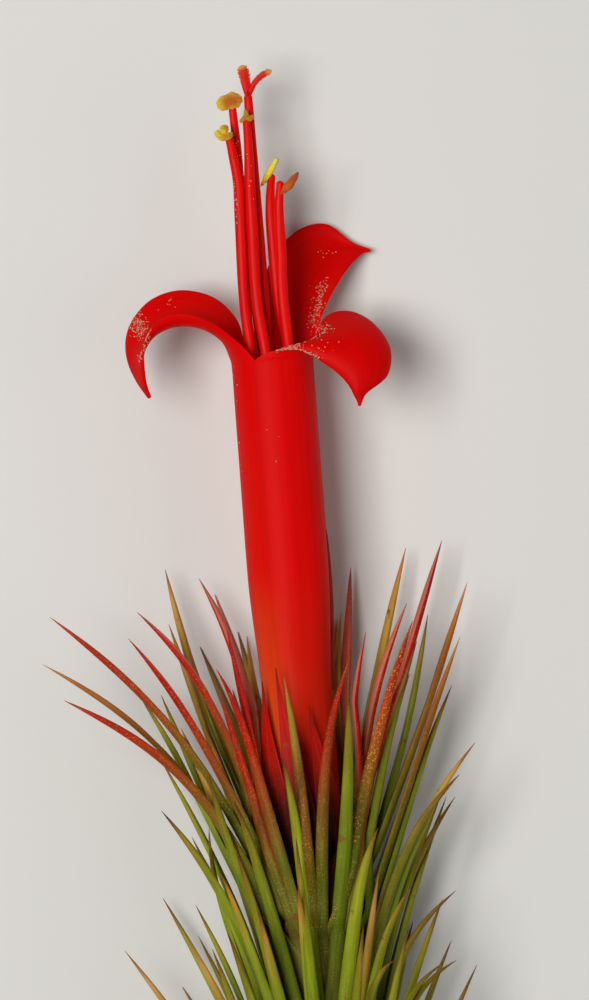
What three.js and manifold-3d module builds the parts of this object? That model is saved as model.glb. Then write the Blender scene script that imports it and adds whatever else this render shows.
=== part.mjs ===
// Tillandsia funckiana: the flowering end of a leafy air-plant shoot, cut off and laid on a surface.
// Millimetres. The shoot lies along y with its flower at the +y end, and z is up from the surface.
// Places on the shoot are [across, along, out]: across it, along its axis from the foot of the
// flower, and out from the axis towards the sky.
import * as THREE from 'three';
import * as BufferGeometryUtils from 'three/addons/utils/BufferGeometryUtils.js';
import Module from 'manifold-3d';

// Driving dimensions of the leafy stem
const AXIS_HEIGHT = 5.8;
const CUT_END = -47;
const CUT_LENGTH = 2.5;
const STEM_RADIUS = 1.3;
const SHEATHED_RADIUS = 2.7;
const CROWN_RADIUS = 3.6;
const CROWN_TOP = 0.2;
const STEM_PROFILE = [
  [STEM_RADIUS, CUT_END], [STEM_RADIUS, CUT_END + CUT_LENGTH], [2.2, -43.5],
  [SHEATHED_RADIUS, -40], [SHEATHED_RADIUS, -9], [CROWN_RADIUS, -3.5], [CROWN_RADIUS, CROWN_TOP],
];
const LEAF_LENGTH = 24;
const LEAF_WIDTH = 1.05;
const LEAF_THICKNESS = 0.75;
const LEAF_TIP_WIDTH = 0.22;
const LEAF_STEPS = 5;
const BEND_REACH = 0.87;
const LOWER_HALF = 0.56;
const MIDDLE_REACH = 0.38;
const MIDDLE_RISE = 0.45;
const MIDDLE_UP = 0.54;
const TIP_PULL = 0.9;
const LEAF_SUNK_TO = 1.5;
const HIGHEST_ROOT = -2.5;
const SPIRAL_TURN = 137.508;
const STRAY = { facing: 12, length: 0.1, lean: 4 };

// How far from the axis the blades keep, beside the calyx, beside the tube above it, and more over
// the bract; and how high above the surface the middle of a blade that lies on it runs.
const CALYX_CLEARANCE = 3.5;
const TUBE_CLEARANCE = 3.0;
const BRACT_CLEARANCE = 1.0;
const BRACT_SPREAD = 45;
const RESTING_HEIGHT = 0.12;
const RESTING_SOFTNESS = 0.4;

// Driving dimensions of the flower
const SEAT_GAP = 0.3;
const FLOWER_FOOT = CROWN_TOP + SEAT_GAP;
const BASE_RADIUS = 2.1;
const TUBE_RADIUS = 2.45;
const CLAW_ROWS = [FLOWER_FOOT, 9, 11.5, 14.5, 17, 23, 27, 29.1];
const PETAL_WALL = 0.6;
const PETAL_HALF_ARC = 59;
const LAYER_GAP = 0.25;
const SEPAL_WALL = 0.5;
const SEPAL_RADIUS = BASE_RADIUS + LAYER_GAP;
const BRACT_RADIUS = SEPAL_RADIUS + SEPAL_WALL + LAYER_GAP;
const BRACT_FACING = 100;
const SCALE_TAPER = 1.3;
const SCALE_TIP_ARC = 3;
const THREAD_RADIUS = 0.3;
const THREAD_IN_TUBE = [[0.95, FLOWER_FOOT], [0.95, 9], [1.28, 18], [1.3, 28]];
const SAC_GIRTHS = [[0, 0.35], [0.15, 0.8], [0.5, 1], [0.85, 0.8], [1, 0.35]];
const LOBE_RADII = [0.2, 0.34, 0.3];

// Leaves that face the sky and the two flanks, read off the plant one by one: where the tip
// stands, and the middle of the blade [across, along].
const LEAVES_IN_VIEW = [
  { tip: [-14.4, 15.1, 2.0], middle: [-6.9, 6.8] },
  { tip: [-15.1, 12.3, 0.5], middle: [-7.4, 5.4] },
  { tip: [-13.9, 10.1, 3.5], middle: [-6.2, 3.6] },
  { tip: [-9.8, 13.5, 3.5], middle: [-5.8, 6.8] },
  { tip: [-9.2, 15.0, 1.0], middle: [-4.8, 8.2] },
  { tip: [-7.4, 17.4, -4.0], middle: [-5.7, 9.5] },
  { tip: [-7.4, 14.1, -2.0], middle: [-5.5, 7.2] },
  { tip: [-5.4, 16.7, -3.5], middle: [-3.1, 9.9] },
  { tip: [-3.9, 13.6, 2.6], middle: [-2.9, 6.8] },
  { tip: [-4.7, 11.3, 4.4], middle: [-3.1, 6.4] },
  { tip: [-4.7, 10.0, 3.6], middle: [-3.6, 5.4] },
  { tip: [-2.8, 13.0, -5.5], middle: [-2.3, 6.8] },
  { tip: [-0.7, 10.5, 5.6], middle: [-0.2, 3.2] },
  { tip: [-1.1, 5.7, 6.8], middle: [-0.5, -1.2] },
  { tip: [-9.5, 10.0, -1.5], middle: [-6.5, 3.8] },
  { tip: [-8.2, 9.9, -2.5], middle: [-6.0, 3.5] },
  { tip: [-7.1, 7.9, 1.5], middle: [-5.2, 2.2] },
  { tip: [-8.6, 3.1, 3.5], middle: [-4.6, -4.2] },
  { tip: [-5.4, -0.7, 4.5], middle: [-3.9, -5.7] },
  { tip: [-5.9, 1.7, -1.0], middle: [-5.3, -3.8] },
  { tip: [-6.2, -5.4, 2.5], middle: [-4.4, -11.7] },
  { tip: [-3.3, -3.1, 6.2], middle: [-2.4, -8.8] },
  { tip: [-5.2, -4.4, 4.2], middle: [-3.8, -9.9] },
  { tip: [-5.6, 5.0, 4.0], middle: [-4.4, -0.6] },
  { tip: [-4.2, 3.4, 5.4], middle: [-2.8, -2.4] },
  { tip: [2.5, 19.1, -5.0], middle: [2.2, 12.4] },
  { tip: [3.8, 16.7, -4.4], middle: [2.9, 9.4] },
  { tip: [3.0, 14.0, -4.0], middle: [2.2, 7.7] },
  { tip: [4.4, 12.8, -1.0], middle: [3.1, 6.7] },
  { tip: [7.2, 17.6, -4.5], middle: [4.3, 7.8] },
  { tip: [7.0, 14.3, -2.8], middle: [4.0, 6.6] },
  { tip: [9.4, 17.9, -3.6], middle: [6.4, 10.1] },
  { tip: [7.2, 13.3, 3.8], middle: [4.3, 5.5] },
  { tip: [6.6, 10.4, 2.4], middle: [3.9, 3.6] },
  { tip: [10.7, 15.3, -1.0], middle: [7.1, 6.6] },
  { tip: [10.0, 12.1, 0.6], middle: [6.5, 4.0] },
  { tip: [8.2, 13.5, -2.6], middle: [6.1, 5.9] },
  { tip: [6.8, 10.1, 1.0], middle: [4.5, 3.6] },
  { tip: [9.3, 9.2, -0.6], middle: [6.2, 2.2] },
  { tip: [3.3, 11.4, 4.6], middle: [1.3, 4.4] },
  { tip: [3.1, 9.5, 5.8], middle: [2.3, 1.0] },
  { tip: [10.4, 5.7, 1.4], middle: [6.0, -0.8] },
  { tip: [9.3, 3.9, 2.4], middle: [5.1, -1.9] },
  { tip: [4.2, 1.2, 6.4], middle: [2.5, -4.1] },
  { tip: [9.0, 2.5, -0.8], middle: [4.8, -4.9] },
  { tip: [6.0, -2.4, 4.4], middle: [3.4, -7.8] },
  { tip: [4.6, -6.7, 6.2], middle: [2.6, -10.4] },
  { tip: [8.6, -3.1, 0.2], middle: [4.3, -8.7] },
  { tip: [8.3, -7.2, 1.6], middle: [4.6, -11.5] },
  { tip: [7.5, -7.2, 3.2], middle: [4.1, -11.7] },
  { tip: [4.9, -1.8, 1.0], middle: [3.2, -6.9] },
  { tip: [-0.8, -1.8, 7.0], middle: [-0.6, -7.5] },
];

// The other leaves follow the plant's spiral: the side that faces the surface, up to the flower,
// steeper ones behind those on the flanks, and every side of the lower stem. They lean from the
// stem by the first to the last lean.
const SURFACE_SIDE = {
  feet: [-5, -22], spacing: 0.22, arc: [225, 315], leans: [24, 22], seed: 11,
};
const FLANKS = { feet: [-12, -23], spacing: 0.5, arc: [170, 360], leans: [12, 16], seed: 5 };
const LOWER_STEM = { feet: [-22, -42], spacing: 0.42, arc: [0, 360], leans: [13, 30], seed: 29 };

// Petals: the way each faces round the tube, in degrees from across towards out, and its blade
// past the tube's mouth as cross-sections from one edge over the middle to the other.
const PETALS = {
  petal_left: {
    facing: 175,
    blade: [
      { from: [-1.3, 29.9, 2.2], middle: [-2.55, 29.8, 0.3], to: [-1.55, 30.1, -1.95] },
      { from: [-2.1, 30.8, 2.1], middle: [-3.05, 31.0, 0.4], to: [-1.9, 32.0, -1.75] },
      { from: [-3.4, 31.9, 2.1], middle: [-4.2, 31.85, 0.4], to: [-3.2, 33.5, -1.5] },
      { from: [-5.1, 32.6, 2.1], middle: [-5.7, 32.0, 0.4], to: [-5.2, 34.1, -1.4] },
      { from: [-6.6, 32.3, 2.0], middle: [-7.0, 31.5, 0.4], to: [-7.1, 33.6, -1.3] },
      { from: [-7.5, 31.1, 1.8], middle: [-7.8, 30.5, 0.4], to: [-8.4, 32.2, -1.0] },
      { from: [-7.65, 29.7, 1.4], middle: [-8.0, 29.4, 0.4], to: [-8.75, 30.6, -0.7] },
      { from: [-7.6, 28.6, 0.8], middle: [-7.85, 28.5, 0.35], to: [-8.3, 29.1, -0.2] },
      { from: [-7.4, 27.85, 0.4], middle: [-7.5, 27.75, 0.3], to: [-7.6, 27.85, 0.2] },
    ],
  },
  petal_front: {
    facing: 55,
    blade: [
      { from: [2.6, 30.1, -0.25], middle: [1.8, 29.7, 1.95], to: [-0.75, 29.7, 2.4] },
      { from: [2.9, 31.2, -0.5], middle: [2.6, 30.3, 1.7], to: [0.4, 30.0, 2.6] },
      { from: [3.7, 32.0, -0.6], middle: [3.7, 30.7, 1.7], to: [1.9, 29.8, 2.7] },
      { from: [5.0, 32.0, -0.4], middle: [4.8, 30.5, 2.0], to: [3.1, 29.0, 2.9] },
      { from: [6.3, 31.1, 0.4], middle: [5.6, 29.7, 2.4], to: [4.0, 28.2, 3.0] },
      { from: [7.1, 29.6, 1.3], middle: [5.9, 28.7, 2.7], to: [4.5, 27.5, 3.1] },
      { from: [6.8, 28.0, 2.1], middle: [5.7, 27.7, 2.9], to: [4.7, 27.0, 3.1] },
      { from: [5.5, 27.1, 2.8], middle: [5.2, 26.95, 3.0], to: [4.85, 26.65, 3.05] },
      { from: [5.1, 26.4, 3.0], middle: [4.95, 26.3, 3.05], to: [4.85, 26.4, 3.05] },
    ],
  },
  petal_back: {
    facing: 295,
    blade: [
      { from: [-1.2, 30.0, -2.2], middle: [1.15, 30.0, -2.6], to: [2.65, 30.2, -0.9] },
      { from: [-0.85, 32.0, -2.8], middle: [1.5, 31.9, -3.3], to: [3.1, 31.7, -1.5] },
      { from: [-0.3, 34.0, -3.5], middle: [2.1, 33.5, -3.95], to: [3.7, 32.9, -2.3] },
      { from: [0.6, 35.9, -4.3], middle: [2.9, 34.9, -4.6], to: [4.5, 34.1, -3.2] },
      { from: [2.2, 37.3, -4.9], middle: [3.7, 35.8, -5.0], to: [5.1, 34.85, -4.0] },
      { from: [3.9, 37.5, -5.1], middle: [4.5, 36.2, -5.2], to: [5.6, 35.3, -4.5] },
      { from: [5.3, 36.35, -5.1], middle: [5.5, 36.0, -5.15], to: [5.95, 35.55, -4.9] },
      { from: [6.35, 35.9, -5.1], middle: [6.45, 35.72, -5.05], to: [6.4, 35.55, -5.0] },
    ],
  },
};

// Sepals and the bract below them: the way the tip faces, the half arc of the foot, the length,
// and the skew, which is 0 where the tip stands over the middle of the foot and 1 where it stands
// over the foot's edge.
const SEPALS = {
  sepal_1: { facing: 138, halfArc: 42, length: 9.8, skew: 0 },
  sepal_2: { facing: 77, halfArc: 32, length: 8.2, skew: 1 },
  sepal_3: { facing: 270, halfArc: 45, length: 9.2, skew: 0 },
};
const BRACT = { facing: 110, halfArc: 20, length: 10.6, skew: 1 };

// Stamens: the way each thread stands round the style inside the tube, its bends past the mouth,
// and its anther as the line through the pollen sac with the sac's half width and half depth.
const STAMENS = [
  {
    facing: 200,
    bends: [[-1.42, 33, -0.5], [-1.3, 38, -0.45], [-1.25, 42, -0.3], [-1.2, 44.3, -0.2]],
    anther: { ends: [[-2.15, 45.0, -0.1], [-0.7, 45.3, -0.1]], half: [0.45, 0.3] },
  },
  {
    facing: 150,
    bends: [[-1.3, 33, 0.75], [-1.25, 38, 0.8], [-1.4, 41, 0.8], [-1.65, 42.35, 0.8]],
    anther: { ends: [[-2.25, 42.85, 0.8], [-1.4, 43.6, 0.9]], half: [0.3, 0.3] },
  },
  {
    facing: 100,
    bends: [[-0.5, 33, 1.15], [-0.6, 38, 0.95], [-0.6, 41, 0.9], [-0.6, 43.3, 0.8]],
    anther: { ends: [[-0.95, 43.9, 0.8], [-0.1, 44.5, 0.9]], half: [0.28, 0.25] },
  },
  {
    facing: 340,
    bends: [[1.05, 33, -0.45], [0.75, 37, -0.4], [0.8, 40.0, -0.3]],
    anther: { ends: [[0.25, 40.2, -0.9], [1.15, 41.6, -0.6]], half: [0.2, 0.2] },
  },
  {
    facing: 30,
    bends: [[1.1, 33, 0.6], [1.0, 37, 0.55], [1.3, 39.5, 0.5]],
    anther: { ends: [[1.3, 39.9, 1.0], [2.4, 40.7, 0.8]], half: [0.27, 0.25] },
  },
  {
    facing: 250,
    bends: [[-0.6, 33, -1.15], [-0.75, 38, -0.95], [-0.8, 40.2, -0.9]],
    anther: { ends: [[-0.95, 40.6, -0.9], [-0.6, 40.9, -0.9]], half: [0.14, 0.14] },
  },
];

// Pistil: [along, radius] up the ovary and style, and the tips of the three stigma lobes.
const STYLE_ACROSS = -0.15;
const STYLE = [[FLOWER_FOOT, 0.35], [2.5, 0.42], [4.5, 0.38], [6.5, 0.25], [30, 0.25], [45.7, 0.28]];
const STIGMA_TIPS = [[-0.7, 47.2, 0.1], [1.25, 46.75, 0.1], [-0.45, 47.0, -0.9]];

const wasm = await Module();
wasm.setup();

// Shapes

const radians = THREE.MathUtils.degToRad;
const place = (point) => new THREE.Vector3(...point);

// A point round the axis: radius, degrees from across towards out, and distance along.
function roundAxis(radius, degrees, along) {
  const turn = radians(degrees);
  return new THREE.Vector3(radius * Math.cos(turn), along, radius * Math.sin(turn));
}

// A closed body through a row of rings. A ring runs along one side and back along the other, and
// both sides are split into triangles alike.
function closedBody(rings) {
  const count = rings[0].length;
  const lastRing = (rings.length - 1) * count;
  const index = [];
  for (let k = 0; k < lastRing; k += count) {
    for (let j = 0; j < count; j++) {
      const a = k + j;
      const b = k + ((j + 1) % count);
      if (j < count / 2) index.push(a, b, a + count, b, b + count, a + count);
      else index.push(a, b, b + count, a, b + count, a + count);
    }
  }
  for (let j = 0; j + 1 < count / 2; j++) {
    const back = count - 1 - j;
    index.push(j, back, j + 1, j + 1, back, back - 1);
    index.push(lastRing + j, lastRing + j + 1, lastRing + back);
    index.push(lastRing + j + 1, lastRing + back - 1, lastRing + back);
  }
  const geometry = new THREE.BufferGeometry().setFromPoints(rings.flat());
  geometry.setIndex(index);
  return geometry;
}

// A rod of six sides through the given points, with a radius at each.
function rod(points, radii, sides = 6) {
  const rings = points.map((point, i) => {
    const before = points[Math.max(i - 1, 0)];
    const after = points[Math.min(i + 1, points.length - 1)];
    const heading = after.clone().sub(before).normalize();
    const across = new THREE.Vector3(0, 0, 1).cross(heading);
    if (across.length() < 0.1) across.set(0, 1, 0);
    across.normalize();
    const out = heading.clone().cross(across);
    return Array.from({ length: sides }, (_, j) => {
      const turn = (j / sides) * 2 * Math.PI;
      return point.clone()
        .addScaledVector(across, radii[i] * Math.cos(turn))
        .addScaledVector(out, radii[i] * Math.sin(turn));
    });
  });
  return closedBody(rings);
}

// The way a row heads at a point: between its two neighbours, and at the row's ends along the bend
// through the three nearest points.
function headingIn(row, j) {
  if (j > 0 && j < row.length - 1) return row[j + 1].clone().sub(row[j - 1]);
  const inward = j === 0 ? 1 : -1;
  return row[j + inward].clone().multiplyScalar(4).addScaledVector(row[j], -3)
    .sub(row[j + 2 * inward]).multiplyScalar(inward);
}

// A thin wall over a grid of rows: the rows are its outer face, and its inner face lies one wall
// behind it, square to it.
function walled(rows, wall) {
  const rings = rows.map((row, k) => {
    const below = rows[Math.max(k - 1, 0)];
    const above = rows[Math.min(k + 1, rows.length - 1)];
    const inner = row.map((point, j) => {
      const along = above[j].clone().sub(below[j]);
      return point.clone().addScaledVector(headingIn(row, j).cross(along).normalize(), wall);
    });
    return [...inner, ...row.toReversed()];
  });
  return closedBody(rings);
}

// An arc from one edge over the middle to the other: a piece of a circle, stretched so that it
// passes through the three points.
function arcThrough({ from, middle, to }, count) {
  const centre = from.clone().add(to).multiplyScalar(0.5);
  const rise = middle.clone().sub(centre);
  const half = to.clone().sub(from).multiplyScalar(0.5);
  const angle = 2 * Math.atan(Math.max(rise.length() / half.length(), 0.01));
  return Array.from({ length: count }, (_, j) => {
    const turn = angle * ((2 * j) / (count - 1) - 1);
    return centre.clone()
      .addScaledVector(half, Math.sin(turn) / Math.sin(angle))
      .addScaledVector(rise, (Math.cos(turn) - Math.cos(angle)) / (1 - Math.cos(angle)));
  });
}

function toSolid(geometry) {
  const vertProperties = new Float32Array(geometry.getAttribute('position').array);
  const triVerts = new Uint32Array(geometry.getIndex().array);
  return new wasm.Manifold(new wasm.Mesh({ numProp: 3, vertProperties, triVerts }));
}

function toGeometry(solid) {
  const mesh = solid.getMesh();
  const geometry = new THREE.BufferGeometry();
  geometry.setAttribute('position', new THREE.BufferAttribute(mesh.vertProperties, 3));
  geometry.setIndex(new THREE.BufferAttribute(mesh.triVerts, 1));
  return geometry;
}

// Bodies grown together and flat where they meet the surface: the largest body of their union,
// which leaves out loose scraps.
function grownTogether(geometries) {
  const onSurface = [[0, 0, 1], -AXIS_HEIGHT];
  const bodies = wasm.Manifold.union(geometries.map(toSolid)).trimByPlane(...onSurface).decompose();
  const volumes = bodies.map((body) => body.volume());
  return toGeometry(bodies[volumes.indexOf(Math.max(...volumes))]);
}

// Leafy stem

// How far from the axis the middle of a blade keeps, so that it clears the calyx and the tube.
function clearOfFlower(along, degrees) {
  const { lerp, smoothstep } = THREE.MathUtils;
  const aboveCalyx = smoothstep(along, 11.5, 14);
  const besideFlower = lerp(CALYX_CLEARANCE, TUBE_CLEARANCE, aboveCalyx);
  const overBract = BRACT_CLEARANCE * Math.exp(-(((degrees - BRACT_FACING) / BRACT_SPREAD) ** 2));
  const bractRise = smoothstep(along, -3, 0) - aboveCalyx;
  return besideFlower * smoothstep(along, -8, -3.5) + overBract * bractRise;
}

// Pushes a point out from the axis to the flower's clearance, and lets a leaf that would reach
// below the surface bend to lie along it.
function bentClear(point) {
  const degrees = THREE.MathUtils.radToDeg(Math.atan2(point.z, point.x));
  const radius = Math.hypot(point.x, point.z);
  const clear = Math.max(1, clearOfFlower(point.y, degrees) / radius);
  const bent = new THREE.Vector3(point.x * clear, point.y, point.z * clear);
  const resting = RESTING_HEIGHT - AXIS_HEIGHT;
  const height = (bent.z - resting) / RESTING_SOFTNESS;
  if (height < 1) bent.z = resting + RESTING_SOFTNESS * Math.exp(height - 1);
  return bent;
}

// One blade from its root over its middle to its tip, nearly straight on both sides of one bend:
// the curve's two handles reach most of the way to the bend. The blade is a flattened rhombus in
// section, and narrows to its tip by the third power of the way up.
function leafBlade(root, middle, tip) {
  const halfway = root.clone().lerp(tip, 0.5);
  const bend = halfway.clone().lerp(middle, 4 / (3 * BEND_REACH));
  const handles = [root, tip].map((end) => end.clone().lerp(bend, BEND_REACH));
  const curve = new THREE.CubicBezierCurve3(root, ...handles, tip);
  const points = curve.getSpacedPoints(LEAF_STEPS).map(bentClear);
  const rings = points.map((point, i) => {
    const before = points[Math.max(i - 1, 0)];
    const after = points[Math.min(i + 1, LEAF_STEPS)];
    const heading = after.clone().sub(before).normalize();
    const outward = new THREE.Vector3(middle.x, 0, middle.z).normalize();
    const across = heading.clone().cross(outward).normalize();
    const out = across.clone().cross(heading);
    const half = 0.5 * Math.max(LEAF_WIDTH * (1 - (i / LEAF_STEPS) ** 3), LEAF_TIP_WIDTH);
    const deep = (half * LEAF_THICKNESS) / LEAF_WIDTH;
    return [
      point.clone().addScaledVector(across, -half),
      point.clone().addScaledVector(out, deep),
      point.clone().addScaledVector(across, half),
      point.clone().addScaledVector(out, -deep),
    ];
  });
  return closedBody(rings);
}

function leafInView({ tip, middle }) {
  const facing = Math.atan2(TIP_PULL * tip[2], middle[0]);
  const rootOut = LEAF_SUNK_TO * Math.sin(facing);
  const rootAcross = LEAF_SUNK_TO * Math.cos(facing);
  const middleOut = rootOut + MIDDLE_RISE * (tip[2] - rootOut);
  const spread = Math.hypot(middle[0] - rootAcross, middleOut - rootOut);
  const rise = Math.sqrt((LOWER_HALF * LEAF_LENGTH) ** 2 - spread ** 2);
  const rootAlong = Math.min(middle[1] - rise, HIGHEST_ROOT);
  return leafBlade(
    new THREE.Vector3(rootAcross, rootAlong, rootOut),
    new THREE.Vector3(middle[0], middle[1], middleOut),
    place(tip),
  );
}

// A seeded draw between -1 and 1.
function makeDraw(seed) {
  let state = seed;
  return () => {
    state = (state * 16807) % 2147483647;
    return (2 * state) / 2147483647 - 1;
  };
}

function leavesOnSpiral({ feet, spacing, arc, leans, seed }) {
  const draw = makeDraw(seed);
  const leaves = [];
  for (let foot = feet[0], i = 0; foot > feet[1]; foot -= spacing, i++) {
    const facing = THREE.MathUtils.euclideanModulo(i * SPIRAL_TURN + STRAY.facing * draw(), 360);
    const length = LEAF_LENGTH * (1 + STRAY.length * draw());
    const evenLean = THREE.MathUtils.mapLinear(foot, feet[0], feet[1], leans[0], leans[1]);
    const lean = radians(evenLean + STRAY.lean * draw());
    if (facing < arc[0] || facing > arc[1]) continue;
    const reach = length * Math.sin(lean);
    const rise = length * Math.cos(lean);
    leaves.push(leafBlade(
      roundAxis(LEAF_SUNK_TO, facing, foot),
      roundAxis(LEAF_SUNK_TO + MIDDLE_REACH * reach, facing, foot + MIDDLE_UP * rise),
      roundAxis(LEAF_SUNK_TO + reach, facing, foot + rise),
    ));
  }
  return leaves;
}

// The stem with the sheaths closed round it, from the cut to the crown under the flower.
function sheathedStem() {
  const profile = [[0, CUT_END], ...STEM_PROFILE, [0, CROWN_TOP]];
  const lathe = new THREE.LatheGeometry(profile.map(([r, y]) => new THREE.Vector2(r, y)), 14);
  lathe.deleteAttribute('normal');
  lathe.deleteAttribute('uv');
  return BufferGeometryUtils.mergeVertices(lathe, 1e-4);
}

function leafyStem() {
  const leaves = [
    ...LEAVES_IN_VIEW.map(leafInView),
    ...leavesOnSpiral(SURFACE_SIDE),
    ...leavesOnSpiral(FLANKS),
    ...leavesOnSpiral(LOWER_STEM),
  ];
  return grownTogether([sheathedStem(), ...leaves]);
}

// Flower

// Radius of the petal tube: slimmer inside the calyx and full from there to the mouth.
function tubeRadius(along) {
  return THREE.MathUtils.lerp(BASE_RADIUS, TUBE_RADIUS, THREE.MathUtils.smoothstep(along, 9, 17));
}

function petal({ facing, blade }) {
  const claw = CLAW_ROWS.map((along) => ({
    from: roundAxis(tubeRadius(along), facing - PETAL_HALF_ARC, along),
    middle: roundAxis(tubeRadius(along), facing, along),
    to: roundAxis(tubeRadius(along), facing + PETAL_HALF_ARC, along),
  }));
  const spread = blade.map(({ from, middle, to }) => (
    { from: place(from), middle: place(middle), to: place(to) }
  ));
  return walled([...claw, ...spread].map((section) => arcThrough(section, 8)), PETAL_WALL);
}

// A long-pointed scale that hugs the tube: a piece of a round wall whose arc closes towards its
// tip a little faster than the way up.
function scale({ facing, halfArc, length, skew }, radius, wall) {
  const rows = [0, 0.2, 0.4, 0.6, 0.8, 1].map((part) => {
    const arc = Math.max(halfArc * (1 - part) ** SCALE_TAPER, SCALE_TIP_ARC);
    return [-1, -0.67, -0.33, 0, 0.33, 0.67, 1].map((side) => (
      roundAxis(radius + wall, facing + (side - skew) * arc, FLOWER_FOOT + part * length)
    ));
  });
  return walled(rows, wall);
}

function filament({ facing, bends }) {
  const points = [
    ...THREAD_IN_TUBE.map(([radius, along]) => roundAxis(radius, facing, along)),
    ...bends.map(place),
  ];
  return rod(points, points.map(() => THREAD_RADIUS));
}

// A pollen sac: a blunt spindle from end to end.
function anther({ anther: { ends, half } }) {
  const [start, end] = ends.map(place);
  const heading = end.clone().sub(start).normalize();
  const across = heading.clone().cross(new THREE.Vector3(0, 0, 1)).normalize();
  const out = heading.clone().cross(across);
  const rings = SAC_GIRTHS.map(([part, girth]) => (
    Array.from({ length: 6 }, (_, j) => {
      const turn = (j / 6) * 2 * Math.PI;
      return start.clone().lerp(end, part)
        .addScaledVector(across, girth * half[0] * Math.cos(turn))
        .addScaledVector(out, girth * half[1] * Math.sin(turn));
    })
  ));
  return closedBody(rings);
}

function pistil() {
  const style = rod(
    STYLE.map(([along]) => new THREE.Vector3(STYLE_ACROSS, along, 0)),
    STYLE.map(([, radius]) => radius),
  );
  const fork = new THREE.Vector3(STYLE_ACROSS, STYLE.at(-1)[0] - 0.3, 0);
  const lobes = STIGMA_TIPS.map((tip) => {
    const end = place(tip);
    const halfway = fork.clone().lerp(end, 0.5);
    return rod([fork, halfway, end], LOBE_RADII);
  });
  return grownTogether([style, ...lobes]);
}

// Assembly

const COLOURS = {
  leaf: [0x76801c, 0.6],
  petal: [0xc40a05, 0.4],
  sepal: [0xb8200c, 0.5],
  thread: [0xd20a06, 0.4],
  pollen: [0xd9a82c, 0.8],
  dryPollen: [0xc2550c, 0.8],
};

const shoot = new THREE.Group();

function add(name, geometry, [color, roughness]) {
  const material = new THREE.MeshStandardMaterial({ color, roughness, metalness: 0 });
  const mesh = new THREE.Mesh(geometry, material);
  mesh.name = name;
  shoot.add(mesh);
}

add('leafy_stem', leafyStem(), COLOURS.leaf);
for (const [name, shape] of Object.entries(PETALS)) add(name, petal(shape), COLOURS.petal);
for (const [name, shape] of Object.entries(SEPALS)) {
  add(name, scale(shape, SEPAL_RADIUS, SEPAL_WALL), COLOURS.sepal);
}
add('floral_bract', scale(BRACT, BRACT_RADIUS, SEPAL_WALL), COLOURS.sepal);
STAMENS.forEach((stamen, i) => {
  add(`filament_${i + 1}`, filament(stamen), COLOURS.thread);
  add(`anther_${i + 1}`, anther(stamen), i === 3 ? COLOURS.pollen : COLOURS.dryPollen);
});
add('pistil', pistil(), COLOURS.thread);

// The origin is on the surface, under the middle of the shoot's box.
const box = new THREE.Box3().setFromObject(shoot);
const middle = box.getCenter(new THREE.Vector3());
shoot.position.set(-middle.x, -middle.y, -box.min.z);

const part = new THREE.Group();
part.add(shoot);

export default part;
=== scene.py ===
import bpy
import numpy as np
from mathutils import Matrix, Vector


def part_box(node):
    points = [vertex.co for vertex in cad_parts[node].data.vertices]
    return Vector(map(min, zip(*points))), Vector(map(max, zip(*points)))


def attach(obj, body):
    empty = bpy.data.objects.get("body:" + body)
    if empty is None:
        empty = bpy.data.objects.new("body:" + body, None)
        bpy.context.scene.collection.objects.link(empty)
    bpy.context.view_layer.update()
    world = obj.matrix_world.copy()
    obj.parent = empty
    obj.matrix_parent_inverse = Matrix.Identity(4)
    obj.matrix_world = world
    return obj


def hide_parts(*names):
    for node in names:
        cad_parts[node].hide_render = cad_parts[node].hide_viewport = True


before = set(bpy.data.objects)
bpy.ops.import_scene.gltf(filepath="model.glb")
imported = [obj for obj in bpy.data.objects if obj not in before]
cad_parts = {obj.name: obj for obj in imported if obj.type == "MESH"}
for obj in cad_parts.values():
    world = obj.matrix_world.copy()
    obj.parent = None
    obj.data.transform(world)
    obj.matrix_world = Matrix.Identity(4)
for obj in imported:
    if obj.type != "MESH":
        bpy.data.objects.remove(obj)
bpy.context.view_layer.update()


# Stem. A slim woody stem, cut straight across with a knife at its lower end. It carries every leaf
# and the flower, and its top widens into the crown that the youngest leaves stand on. The rind is
# dull brown with lengthwise ribs, and the cut face shows paler pith.
MM = 0.001
AXIS_HEIGHT = 5.8
CUT_END = -47.0
CROWN_TOP = 0.2
STEM_HEIGHTS = [CUT_END, -40, -9, -3.5, -1.0, CROWN_TOP]
STEM_RADII = [1.25, 1.3, 1.6, 2.45, 2.65, 2.1]
STEM_ROWS = 120
STEM_RING = 44

# Rows close together by the cut, by their distance from it: the first two are on its face.
CUT_ROWS = [0, 0.04, 0.2]
EVEN_ROWS_FROM = 0.5

# Lengthwise ribs, their height as a share of the radius, and how far they sway from side to side.
RIB_COUNT = 11
RIB_HEIGHT = 0.04
RIB_SWAY = 0.4

# The flower's foot in the frame: the first sepal's outside stands this far to the left of the axis,
# and the leafy stem starts at the cut end.
SEPAL_OUTSIDE = 2.85
shoot_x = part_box("sepal_1")[0].x / MM + SEPAL_OUTSIDE
shoot_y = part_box("leafy_stem")[0].y / MM - CUT_END
SHOOT_FOOT = np.array([shoot_x, shoot_y, AXIS_HEIGHT])


def closed_tubes(points):
    """Faces of closed tubes over points[tube, row, ring]: quads join each ring to the next, and
    quads across the first and the last ring join point j to the j-th point from the ring's end."""
    tubes, rows, ring, _ = points.shape
    tube, row, side = np.indices((tubes, rows - 1, ring))
    near = (tube * rows + row) * ring
    after = (side + 1) % ring
    walls = np.stack([near + side, near + after, near + ring + after, near + ring + side], -1)
    step = np.arange(ring // 2 - 1)
    back = ring - 1 - step
    first = np.arange(tubes)[:, None] * rows * ring
    last = first + (rows - 1) * ring
    start = np.stack([first + step, first + back, first + back - 1, first + step + 1], -1)
    end = np.stack([last + step, last + step + 1, last + back - 1, last + back], -1)
    return np.concatenate([part.reshape(-1, 4) for part in (walls, start, end)])


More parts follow.
